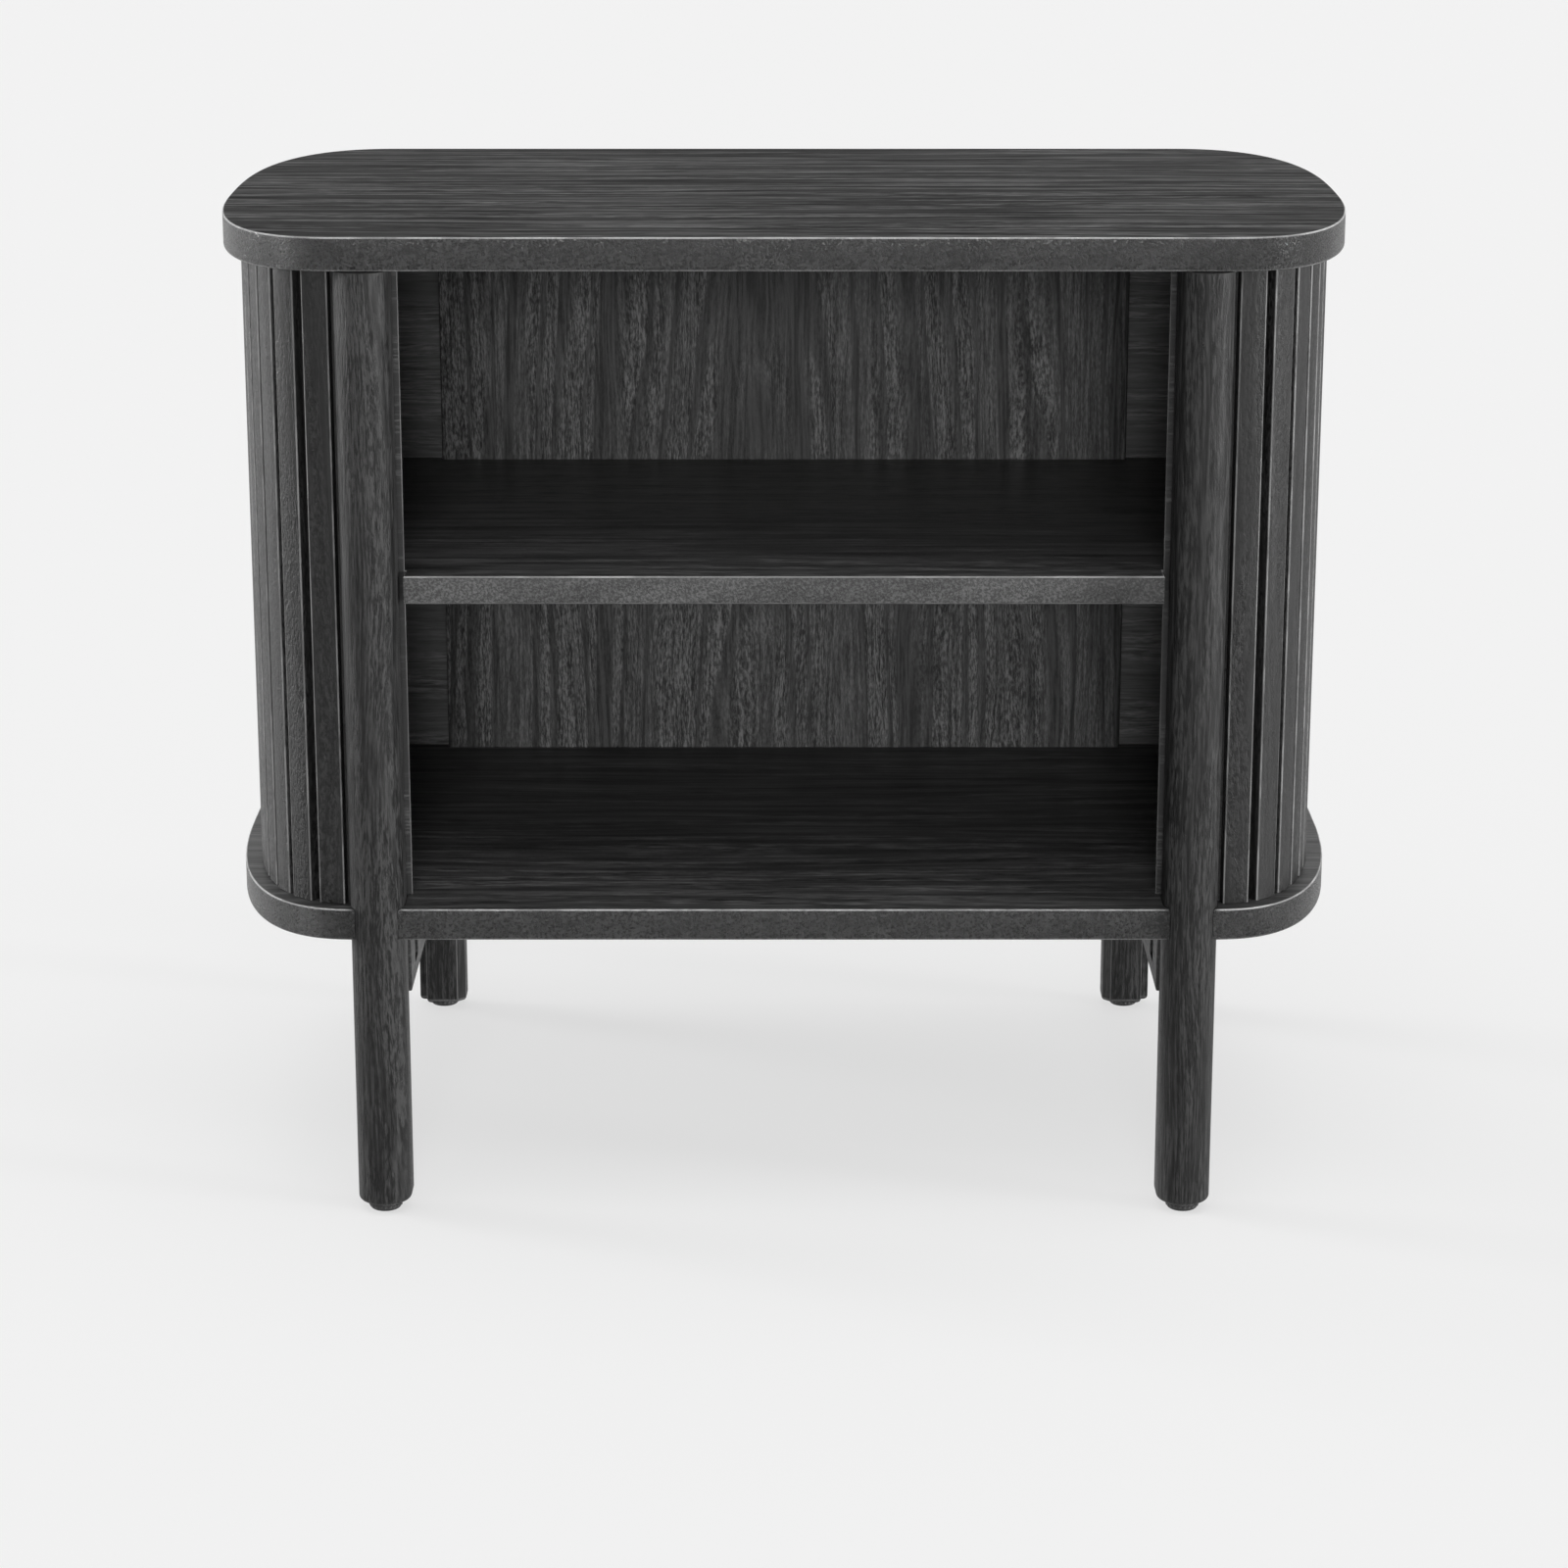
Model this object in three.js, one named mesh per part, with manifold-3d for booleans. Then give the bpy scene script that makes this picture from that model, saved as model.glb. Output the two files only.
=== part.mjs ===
// Open nightstand with slatted round ends, standing on four legs with levelling glides.
// Millimetres, +Z up, the front faces -Y, the origin is on the floor under the middle.
import * as THREE from "three";
import { mergeVertices } from "three/addons/utils/BufferGeometryUtils.js";
import Module from "manifold-3d";

const wasm = await Module();
wasm.setup();

// Overall sizes
const boardWidth = 600;
const boardDepth = 360;
const height = 526;
const endRun = 76; // how far each curved end reaches in from the side
const endPower = 2.57; // 2 is an ellipse, higher is squarer
const endSteps = 40;

// Boards and shelf
const topThickness = 17.5;
const bottomThickness = 17;
const bottomBoardZ = 154; // underside of the bottom board
const shelfThickness = 15;
const shelfZ = 332.5; // underside of the middle shelf
const shelfSetback = 15; // middle shelf's front edge, back from the boards' front edge
const easedEdge = 1;
const easedSteps = 1;

// Clearances
const fitGap = 0.3;
const overrun = 5; // how far a cut runs past the face that it opens
const weldReach = 1e-4; // corners nearer than this are one

// Slatted walls, from outside to inside
const overhang = 9; // boards' edge past the slats
const slatThickness = 6;
const slatBacking = 1; // the sheet that is left behind the grooves
const slatWidth = 14.1;
const slatPitch = 16.5; // the nearest whole count of slats fills the wall
const slatArris = 0.8;
const coreThickness = 10.7;
const linerThickness = 2.7;
const linerFrontReach = 2.7; // liner's front edge, past the front leg's inner side
const linerRearReach = 0.3; // liner's rear edge, short of the rear leg's inner side

// Legs: round outside, flat at the inner side and at the face towards the cabinet
const legWidth = 28.5;
const frontLegInset = 9; // leg's centre, in from where the boards' round end starts
const rearLegInset = 14;
const legProud = 5.3; // leg's round face, past the boards' edge
const legLinerGap = 0.35; // leg's flat side to the liner that passes behind it
const legRoundSteps = 14;
const legEndRounding = 2.6;
const legEndSteps = 2;
const rebateWidth = 4.7; // takes the wall core's tongue
const rebateDepth = 7;
const legChamfer = 5;

// Back panel, held in grooves of both boards
const backInset = 22; // panel's upright edge, in from where the boards' round end starts
const backThickness = 5.2;
const grooveDepth = 4.5;

// Side rails under the bottom board
const railThickness = 18;
const railHeight = 36.7;
const railStep = 1.25; // rail's inner face, in from the front legs' inner side
const pocketStart = 22; // from the rail's end
const pocketLength = 17;
const pocketHeight = 17.5;
const pocketRise = 8.5; // from the rail's underside

// Levelling glides: a foot moulded round the head of a threaded stem
const footHeight = 5.2;
const footRadius = 8.4;
const footLowRounding = 1.8;
const footHighRounding = 0.6;
const footRoundSteps = 2;
const knurlRadius = 9;
const knurlDepth = 0.4;
const knurlTeeth = 22;
const knurlBand = 1.4; // height of the ring of teeth, just above the low rounding
const stemRadius = 3;
const stemLength = 22;
const stemHeadRadius = 5;
const stemHeadHeight = 2;
const stemFloor = 1.2; // foot's thickness under the stem's head
const glideInsertRadius = 5;
const glideInsertLength = 14;

// Fasteners
const roundSteps = 12;
const boltRadius = 3;
const boltHeadRadius = 5;
const boltHeadLength = 5;
const boltLength = 36;
const boltInsertRadius = 4.5;
const boltInsertLength = 12;
const screwRadius = 2;
const screwHeadRadius = 4;
const screwHeadLength = 2.6;
const screwLength = 47;
const screwPlaceShare = 0.46; // of the rail's half length
const legDowelRadius = 4;
const legDowelLength = 30;
const legDowelInBoard = 10;
const legDowelSetback = 6; // from the leg's round centre, towards the cabinet
const wallDowelRadius = 3;
const wallDowelLength = 20;
const wallDowelPlaceShare = 0.5; // of the boards' half depth
const shelfDowelRadius = 4;
const shelfDowelLength = 24;
const shelfDowelInWall = 10;
const shelfDowelPlaceShare = 0.34; // of the boards' half depth

// Places worked out from the sizes
const halfDepth = boardDepth / 2;
const endStartX = boardWidth / 2 - endRun;
const topBoardZ = height - topThickness;
const bayZ = bottomBoardZ + bottomThickness;
const legRadius = legWidth / 2;
const frontLegX = endStartX - frontLegInset;
const rearLegX = endStartX - rearLegInset;
const legY = halfDepth + legProud - legRadius; // centre of the leg's round part
const slatBackInset = overhang + slatThickness;
const coreInset = slatBackInset + fitGap;
const coreBackInset = coreInset + coreThickness;
const linerInset = coreBackInset + fitGap;
const linerBackInset = linerInset + linerThickness;
const legBackY = halfDepth - linerInset + legLinerGap; // leg's face towards the cabinet
const legFlatDepth = legY - legBackY; // straight part behind the round part
const wallLowZ = bayZ + fitGap;
const wallHighZ = topBoardZ - fitGap;
const backFaceY = halfDepth - linerBackInset - fitGap - backThickness;
const backHalfWidth = endStartX - backInset;
const legLowZ = footHeight + fitGap;
const stemTopZ = footHeight + stemLength;
const legTopZ = topBoardZ - fitGap;
const shelfMiddleZ = shelfZ + shelfThickness / 2;
const railLowZ = bottomBoardZ - fitGap - railHeight;
const railInnerX = frontLegX - legRadius - railStep;
const railHalfLength = legBackY - fitGap;
const railMiddleX = railInnerX + railThickness / 2;
const pocketEndY = railHalfLength - pocketStart;
const boltZ = railLowZ + pocketRise + pocketHeight / 2;
const boltReach = boltLength - pocketStart - 2 * fitGap; // bolt's part inside the leg
const screwTipZ = railLowZ + screwLength;

const finishes = {
  board: new THREE.MeshStandardMaterial({ color: 0x424242, roughness: 0.55 }),
  slat: new THREE.MeshStandardMaterial({ color: 0x3c3c3c, roughness: 0.6 }),
  leg: new THREE.MeshStandardMaterial({ color: 0x3a3a3a, roughness: 0.5 }),
  back: new THREE.MeshStandardMaterial({ color: 0x4a4a4a, roughness: 0.6 }),
  liner: new THREE.MeshStandardMaterial({ color: 0x303030, roughness: 0.65 }),
  core: new THREE.MeshStandardMaterial({ color: 0x2a2a2a, roughness: 0.8 }),
  dowel: new THREE.MeshStandardMaterial({ color: 0xb08d5b, roughness: 0.8 }),
  steel: new THREE.MeshStandardMaterial({ color: 0x8c8c8c, roughness: 0.35, metalness: 1 }),
  foot: new THREE.MeshStandardMaterial({ color: 0x1c1c1c, roughness: 0.5 }),
};

const nightstand = new THREE.Group();

function addPiece(name, geometry, finish) {
  const mesh = new THREE.Mesh(geometry, finish);
  mesh.name = name;
  nightstand.add(mesh);
  return mesh;
}

// A closed geometry as a solid for cutting and joining.
function toSolid(geometry) {
  const bare = geometry.index ? geometry.toNonIndexed() : geometry.clone();
  bare.deleteAttribute("normal");
  bare.deleteAttribute("uv");
  const merged = mergeVertices(bare, weldReach);
  const corners = merged.index.array;
  const kept = [];
  for (let i = 0; i < corners.length; i += 3) {
    const [a, b, c] = corners.slice(i, i + 3);
    if (a !== b && b !== c && c !== a) kept.push(a, b, c);
  }
  return new wasm.Manifold(
    new wasm.Mesh({
      numProp: 3,
      vertProperties: merged.attributes.position.array,
      triVerts: new Uint32Array(kept),
    }),
  );
}

function toGeometry(solid) {
  const mesh = solid.getMesh();
  const geometry = new THREE.BufferGeometry();
  geometry.setAttribute("position", new THREE.BufferAttribute(mesh.vertProperties, 3));
  geometry.setIndex(new THREE.BufferAttribute(mesh.triVerts, 1));
  const flat = geometry.toNonIndexed();
  flat.computeVertexNormals();
  return flat;
}

function cut(geometry, tools) {
  return toGeometry(tools.reduce((solid, tool) => solid.subtract(toSolid(tool)), toSolid(geometry)));
}

function join(geometries) {
  return toGeometry(geometries.map(toSolid).reduce((all, next) => all.add(next)));
}

// A box between two places along each axis, given in either order.
function boxBetween(x0, x1, y0, y1, z0, z1) {
  const box = new THREE.BoxGeometry(Math.abs(x1 - x0), Math.abs(y1 - y0), Math.abs(z1 - z0));
  return box.translate((x0 + x1) / 2, (y0 + y1) / 2, (z0 + z1) / 2);
}

// Round bars along an axis between two places on it; "across" is the other two coordinates.
function bar(radius, length) {
  return new THREE.CylinderGeometry(radius, radius, Math.abs(length), roundSteps);
}

function barX(radius, from, to, [y, z]) {
  return bar(radius, to - from).rotateZ(Math.PI / 2).translate((from + to) / 2, y, z);
}

function barY(radius, from, to, [x, z]) {
  return bar(radius, to - from).translate(x, (from + to) / 2, z);
}

function barZ(radius, from, to, [x, y]) {
  return bar(radius, to - from).rotateX(Math.PI / 2).translate(x, y, (from + to) / 2);
}

// A profile of [radius, height] pairs turned about an upright axis at a place.
function turned(profile, [x, y]) {
  const points = profile.map(([radius, z]) => new THREE.Vector2(radius, z));
  return new THREE.LatheGeometry(points, 2 * roundSteps).rotateX(Math.PI / 2).translate(x, y, 0);
}

// Half of the boards' outline moved in by an inset, from the front middle round the +X end to the rear middle.
function halfOutline(inset) {
  const points = [new THREE.Vector2(0, inset - halfDepth)];
  for (let i = 0; i <= endSteps; i++) {
    const angle = (i / endSteps - 1 / 2) * Math.PI;
    const c = Math.max(0, Math.cos(angle));
    const s = Math.sin(angle);
    const u = endRun * Math.pow(c, 2 / endPower);
    const v = halfDepth * Math.sign(s) * Math.pow(Math.abs(s), 2 / endPower);
    const normal = new THREE.Vector2(
      Math.pow(u / endRun, endPower - 1) / endRun,
      (Math.sign(v) * Math.pow(Math.abs(v) / halfDepth, endPower - 1)) / halfDepth,
    ).normalize();
    const place = new THREE.Vector2(endStartX + u, v);
    points.push(place.addScaledVector(normal, -inset));
  }
  points.push(new THREE.Vector2(0, halfDepth - inset));
  return points;
}

// The part of that line that lies past a distance from the middle, which may differ at the front and the rear.
function wallLine(inset, frontX, rearX) {
  const line = halfOutline(inset);
  const atFront = line.findIndex((p) => p.x > frontX);
  const atRear = line.findLastIndex((p) => p.x > rearX);
  const crossing = (a, b, x) => a.clone().lerp(b, (x - a.x) / (b.x - a.x));
  return [
    crossing(line[atFront - 1], line[atFront], frontX),
    ...line.slice(atFront, atRear + 1),
    crossing(line[atRear], line[atRear + 1], rearX),
  ];
}

function mirrored(points, side) {
  return side > 0 ? points : points.map((p) => new THREE.Vector2(-p.x, p.y)).reverse();
}

// An outline raised between two heights.
function prism(points, z0, z1) {
  const shape = new THREE.Shape(points);
  return new THREE.ExtrudeGeometry(shape, { depth: z1 - z0, bevelEnabled: false }).translate(0, 0, z0);
}

// The same with its edges eased, within its outline and its two heights.
function easedPrism(points, z0, z1, ease, steps) {
  const shape = new THREE.Shape(points);
  const options = {
    depth: z1 - z0 - 2 * ease,
    bevelThickness: ease,
    bevelSize: ease,
    bevelOffset: -ease,
    bevelSegments: steps,
  };
  return new THREE.ExtrudeGeometry(shape, options).translate(0, 0, z0 + ease);
}

function fullOutline(inset) {
  const right = halfOutline(inset);
  const left = mirrored(right, -1);
  return [...right.slice(1, -1), ...left.slice(1, -1)];
}

// The walls' layers as strips between two insets.
function strip(outerInset, innerInset, frontX, rearX, side) {
  const outer = wallLine(outerInset, frontX, rearX);
  const inner = wallLine(innerInset, frontX, rearX);
  return prism(mirrored([...outer, ...inner.reverse()], side), wallLowZ, wallHighZ);
}

const sides = [
  { word: "left", sign: -1 },
  { word: "right", sign: 1 },
];
const ends = [
  { word: "front", sign: -1, x: frontLegX },
  { word: "rear", sign: 1, x: rearLegX },
];
const corners = ends.flatMap((end) =>
  sides.map((side) => ({
    word: `${end.word}_${side.word}`,
    x: side.sign * end.x,
    y: end.sign * legY,
    sideSign: side.sign,
    endSign: end.sign,
  })),
);

// Where the dowels and screws go
const wallDowelInset = (coreInset + coreBackInset) / 2;
const wallDowelPlaces = ends.flatMap((end) =>
  sides.map((side) => {
    const y = end.sign * wallDowelPlaceShare * halfDepth;
    return { word: `${end.word}_${side.word}`, across: [side.sign * lineX(wallDowelInset, y), y] };
  }),
);
const shelfDowelPlaces = ends.flatMap((end) =>
  sides.map((side) => {
    const y = end.sign * shelfDowelPlaceShare * halfDepth;
    const outerX = lineX(linerBackInset, y) + shelfDowelInWall;
    return {
      word: `${end.word}_${side.word}`,
      side: side.sign,
      across: [y, shelfMiddleZ],
      start: side.sign * outerX,
      end: side.sign * (outerX - shelfDowelLength),
    };
  }),
);

function legDowelPlace(corner) {
  return [corner.x, corner.y - corner.endSign * legDowelSetback];
}

function screwPlace(corner) {
  return [corner.sideSign * railMiddleX, corner.endSign * screwPlaceShare * railHalfLength];
}

function boltPlace(corner) {
  return [corner.sideSign * railMiddleX, boltZ];
}

// How far from the middle the outline at an inset lies, at a place along the depth.
function lineX(inset, y) {
  const line = halfOutline(inset);
  const next = line.findIndex((p, i) => i > 0 && p.y > y);
  const a = line[next - 1];
  const b = line[next];
  return a.x + ((b.x - a.x) * (y - a.y)) / (b.y - a.y);
}

function legDowelHole(corner) {
  const z0 = topBoardZ + legDowelInBoard - legDowelLength - fitGap;
  return barZ(legDowelRadius + fitGap, z0, topBoardZ + legDowelInBoard + fitGap, legDowelPlace(corner));
}

// Holes for the dowels that stand half in a board and half in a wall.
function wallDowelHoles(z) {
  const reach = wallDowelLength / 2 + fitGap;
  return wallDowelPlaces.map((place) =>
    barZ(wallDowelRadius + fitGap, z - reach, z + reach, place.across),
  );
}

function shelfDowelHoles() {
  return shelfDowelPlaces.map(({ side, start, end, across }) =>
    barX(shelfDowelRadius + fitGap, start + side * fitGap, end - side * fitGap, across),
  );
}

function backGroove(z0, z1) {
  const halfWidth = backHalfWidth + fitGap;
  const rearY = backFaceY + backThickness + fitGap;
  return boxBetween(-halfWidth, halfWidth, backFaceY - fitGap, rearY, z0, z1);
}

// The space that a leg takes out of the bottom board, open at the board's edge.
function legNotch(corner) {
  const half = legRadius + fitGap;
  const edgeY = corner.endSign * (halfDepth + overrun);
  const backY = corner.endSign * (legBackY - fitGap);
  const [z0, z1] = [bottomBoardZ - overrun, bayZ + overrun];
  return boxBetween(corner.x - half, corner.x + half, edgeY, backY, z0, z1);
}

function makeTopBoard() {
  const board = easedPrism(fullOutline(0), topBoardZ, height, easedEdge, easedSteps);
  const groove = backGroove(topBoardZ - overrun, topBoardZ + grooveDepth + fitGap);
  const holes = [...corners.map(legDowelHole), ...wallDowelHoles(topBoardZ)];
  addPiece("top_board", cut(board, [groove, ...holes]), finishes.board);
}

function makeBottomBoard() {
  const board = easedPrism(fullOutline(0), bottomBoardZ, bayZ, easedEdge, easedSteps);
  const groove = backGroove(bayZ - grooveDepth - fitGap, bayZ + overrun);
  const screwHoles = corners.map((corner) =>
    barZ(screwRadius + fitGap, bottomBoardZ - overrun, screwTipZ + fitGap, screwPlace(corner)),
  );
  const cuts = [groove, ...corners.map(legNotch), ...wallDowelHoles(bayZ), ...screwHoles];
  addPiece("bottom_board", cut(board, cuts), finishes.board);
}

// The shelf fits between the front legs and widens behind them to the round walls.
function makeMiddleShelf() {
  const inset = linerBackInset + fitGap;
  const tabHalf = frontLegX - legRadius - linerFrontReach - fitGap;
  const right = [
    new THREE.Vector2(tabHalf, shelfSetback - halfDepth),
    new THREE.Vector2(tabHalf, inset - halfDepth),
    ...halfOutline(inset).slice(1, -1),
    new THREE.Vector2(backHalfWidth + fitGap, halfDepth - inset),
    new THREE.Vector2(backHalfWidth + fitGap, backFaceY - fitGap),
  ];
  const outline = [...right, ...mirrored(right, -1)];
  const shelf = easedPrism(outline, shelfZ, shelfZ + shelfThickness, easedEdge, easedSteps);
  addPiece("middle_shelf", cut(shelf, shelfDowelHoles()), finishes.board);
}

function makeBackPanel() {
  const [z0, z1] = [bayZ - grooveDepth, topBoardZ + grooveDepth];
  const rearY = backFaceY + backThickness;
  addPiece("back_panel", boxBetween(-backHalfWidth, backHalfWidth, backFaceY, rearY, z0, z1), finishes.back);
}

// A leg's section as for the right rear leg: round outside, rebated for the wall, chamfered inside.
function legSection(corner) {
  const points = [];
  for (let i = 0; i <= legRoundSteps; i++) {
    const angle = (i / legRoundSteps) * Math.PI;
    points.push([legRadius * Math.cos(angle), legRadius * Math.sin(angle)]);
  }
  points.push(
    [-legRadius, legChamfer - legFlatDepth],
    [legChamfer - legRadius, -legFlatDepth],
    [legRadius - rebateWidth, -legFlatDepth],
    [legRadius - rebateWidth, rebateDepth - legFlatDepth],
    [legRadius, rebateDepth - legFlatDepth],
  );
  return points.map(
    ([x, y]) => new THREE.Vector2(corner.x + corner.sideSign * x, corner.y + corner.endSign * y),
  );
}

function makeLeg(corner) {
  const overTop = legTopZ + 2 * legEndRounding;
  const body = easedPrism(legSection(corner), legLowZ, overTop, legEndRounding, legEndSteps);
  const reach = legWidth + legFlatDepth;
  const trim = boxBetween(
    corner.x - reach,
    corner.x + reach,
    corner.y - reach,
    corner.y + reach,
    legTopZ,
    overTop + overrun,
  );
  const across = [corner.x, corner.y];
  const insertHole = barZ(
    glideInsertRadius + fitGap,
    legLowZ - overrun,
    legLowZ + glideInsertLength + 2 * fitGap,
    across,
  );
  const stemHole = barZ(stemRadius + fitGap, legLowZ, stemTopZ + fitGap, across);
  const boltHole = barY(
    boltInsertRadius + fitGap,
    corner.endSign * (legBackY - overrun),
    corner.endSign * (legBackY + boltReach + fitGap),
    boltPlace(corner),
  );
  const leg = cut(body, [trim, legDowelHole(corner), insertHole, stemHole, boltHole]);
  addPiece(`leg_${corner.word}`, leg, finishes.leg);
}

// The wall's core is a bent board with a tongue that enters each leg's rebate.
function makeWallCore(side) {
  const frontX = frontLegX + legRadius + fitGap;
  const rearX = rearLegX + legRadius + fitGap;
  const tongueInset = halfDepth - legBackY - rebateDepth + fitGap;
  const body = strip(coreInset, coreBackInset, frontX, rearX, side.sign);
  const tongue = strip(
    tongueInset,
    coreBackInset,
    frontX - rebateWidth,
    rearX - rebateWidth,
    side.sign,
  );
  const holes = [...wallDowelHoles(bayZ), ...wallDowelHoles(topBoardZ), ...shelfDowelHoles()];
  addPiece(`wall_core_${side.word}`, cut(join([body, tongue]), holes), finishes.core);
}

function makeWallLiner(side) {
  const frontX = frontLegX - legRadius - linerFrontReach;
  const rearX = rearLegX - legRadius + linerRearReach;
  const skin = strip(linerInset, linerBackInset, frontX, rearX, side.sign);
  addPiece(`wall_liner_${side.word}`, cut(skin, shelfDowelHoles()), finishes.liner);
}

// Even places along a line, each with the line's direction and its outward direction there.
function placesAlong(line, count) {
  const runs = line.slice(1).map((point, i) => point.distanceTo(line[i]));
  const total = runs.reduce((sum, run) => sum + run, 0);
  return Array.from({ length: count }, (_, k) => {
    let left = (total * (k + 1 / 2)) / count;
    let i = 0;
    while (i < runs.length - 1 && left > runs[i]) {
      left -= runs[i];
      i += 1;
    }
    const along = line[i + 1].clone().sub(line[i]).normalize();
    const out = new THREE.Vector2(along.y, -along.x);
    return { place: line[i].clone().addScaledVector(along, left), along, out };
  });
}

// One slat's outline, from backing to backing, its outer corners taken off.
function slatOutline({ place, along, out }) {
  const half = slatWidth / 2;
  const offsets = [
    [-half, slatBacking],
    [-half, slatThickness - slatArris],
    [slatArris - half, slatThickness],
    [half - slatArris, slatThickness],
    [half, slatThickness - slatArris],
    [half, slatBacking],
  ];
  return offsets.map(([run, rise]) =>
    place.clone().addScaledVector(along, run).addScaledVector(out, rise),
  );
}

// The slats of one wall stand on a thin backing that follows the core from leg to leg.
function makeSlats(side) {
  const clear = legRadius + fitGap;
  const [frontX, rearX] = [frontLegX + clear, rearLegX + clear];
  const back = wallLine(slatBackInset, frontX, rearX);
  const face = wallLine(slatBackInset - slatBacking, frontX, rearX);
  const length = back.slice(1).reduce((sum, point, i) => sum + point.distanceTo(back[i]), 0);
  const slats = placesAlong(back, Math.round(length / slatPitch)).flatMap(slatOutline);
  const outline = [face[0], ...slats, face.at(-1), ...back.toReversed()];
  const sheet = prism(mirrored(outline, side.sign), wallLowZ, wallHighZ);
  addPiece(`wall_slats_${side.word}`, sheet, finishes.slat);
}

function makeRail(side) {
  const inner = side.sign * railInnerX;
  const outer = side.sign * (railInnerX + railThickness);
  const railHighZ = railLowZ + railHeight;
  const rail = boxBetween(inner, outer, -railHalfLength, railHalfLength, railLowZ, railHighZ);
  const cuts = corners
    .filter((corner) => corner.sideSign === side.sign)
    .flatMap((corner) => {
      const outEnd = corner.endSign * (railHalfLength + overrun);
      const pocketY = corner.endSign * pocketEndY;
      const farY = corner.endSign * (pocketEndY - pocketLength);
      const pocketLowZ = railLowZ + pocketRise;
      const openX = inner - side.sign * overrun;
      const deepX = side.sign * (railMiddleX + boltHeadRadius + fitGap);
      const place = screwPlace(corner);
      const sinkZ = railLowZ + screwHeadLength + fitGap;
      return [
        boxBetween(openX, deepX, pocketY, farY, pocketLowZ, pocketLowZ + pocketHeight),
        barY(boltRadius + fitGap, farY, outEnd, boltPlace(corner)),
        barZ(screwRadius + fitGap, railLowZ - overrun, railHighZ + overrun, place),
        barZ(screwHeadRadius + fitGap, railLowZ - overrun, sinkZ, place),
      ];
    });
  addPiece(`side_rail_${side.word}`, cut(rail, cuts), finishes.leg);
}

// A bolt lies in a rail's pocket and runs through the rail's end into a threaded sleeve in the leg.
function makeRailBolt(corner) {
  const end = corner.endSign;
  const place = boltPlace(corner);
  const seat = pocketEndY - fitGap;
  const head = barY(boltHeadRadius, end * seat, end * (seat - boltHeadLength), place);
  const shankStart = end * (seat - boltHeadLength / 2);
  const shank = barY(boltRadius, shankStart, end * (seat + boltLength), place);
  addPiece(`rail_bolt_${corner.word}`, join([head, shank]), finishes.steel);

  const mouth = legBackY + fitGap;
  const deep = mouth + boltInsertLength;
  const sleeve = barY(boltInsertRadius, end * mouth, end * deep, place);
  const bore = barY(boltRadius + fitGap, end * (mouth - overrun), end * (deep + overrun), place);
  addPiece(`rail_bolt_insert_${corner.word}`, cut(sleeve, [bore]), finishes.steel);
}

function makeBoardScrew(corner) {
  const place = screwPlace(corner);
  const head = barZ(screwHeadRadius, railLowZ, railLowZ + screwHeadLength, place);
  const shank = barZ(screwRadius, railLowZ + screwHeadLength / 2, screwTipZ, place);
  addPiece(`board_screw_${corner.word}`, join([head, shank]), finishes.steel);
}

function makeDowels() {
  for (const corner of corners) {
    const z1 = topBoardZ + legDowelInBoard;
    const dowel = barZ(legDowelRadius, z1 - legDowelLength, z1, legDowelPlace(corner));
    addPiece(`leg_dowel_${corner.word}`, dowel, finishes.dowel);
  }
  const half = wallDowelLength / 2;
  for (const { word, across } of wallDowelPlaces) {
    const high = barZ(wallDowelRadius, topBoardZ - half, topBoardZ + half, across);
    const low = barZ(wallDowelRadius, bayZ - half, bayZ + half, across);
    addPiece(`wall_dowel_top_${word}`, high, finishes.dowel);
    addPiece(`wall_dowel_bottom_${word}`, low, finishes.dowel);
  }
  for (const { word, across, start, end } of shelfDowelPlaces) {
    addPiece(`shelf_dowel_${word}`, barX(shelfDowelRadius, start, end, across), finishes.dowel);
  }
}

// Quarter-round steps between two directions, as [radius, height] offsets from the round's centre.
function roundingSteps(size, fromAngle) {
  return Array.from({ length: footRoundSteps + 1 }, (_, i) => {
    const angle = fromAngle + (i / footRoundSteps) * (Math.PI / 2);
    return [size * Math.cos(angle), size * Math.sin(angle)];
  });
}

function makeGlideFoot(corner) {
  const across = [corner.x, corner.y];
  const low = roundingSteps(footLowRounding, -Math.PI / 2).map(([r, z]) => [
    footRadius - footLowRounding + r,
    footLowRounding + z,
  ]);
  const high = roundingSteps(footHighRounding, 0).map(([r, z]) => [
    footRadius - footHighRounding + r,
    footHeight - footHighRounding + z,
  ]);
  const body = turned([[0, 0], ...low, ...high, [0, footHeight]], across);
  const teeth = Array.from({ length: 2 * knurlTeeth }, (_, i) => {
    const radius = knurlRadius - (i % 2) * knurlDepth;
    const angle = (i / knurlTeeth) * Math.PI;
    return new THREE.Vector2(radius * Math.cos(angle), radius * Math.sin(angle));
  });
  const knurl = prism(teeth, footLowRounding, footLowRounding + knurlBand).translate(...across, 0);
  const headRoom = barZ(
    stemHeadRadius + fitGap,
    stemFloor,
    stemFloor + stemHeadHeight + 2 * fitGap,
    across,
  );
  const stemRoom = barZ(stemRadius + fitGap, stemFloor, footHeight + overrun, across);
  const foot = cut(join([body, knurl]), [headRoom, stemRoom]);
  addPiece(`glide_foot_${corner.word}`, foot, finishes.foot);
}

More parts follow.
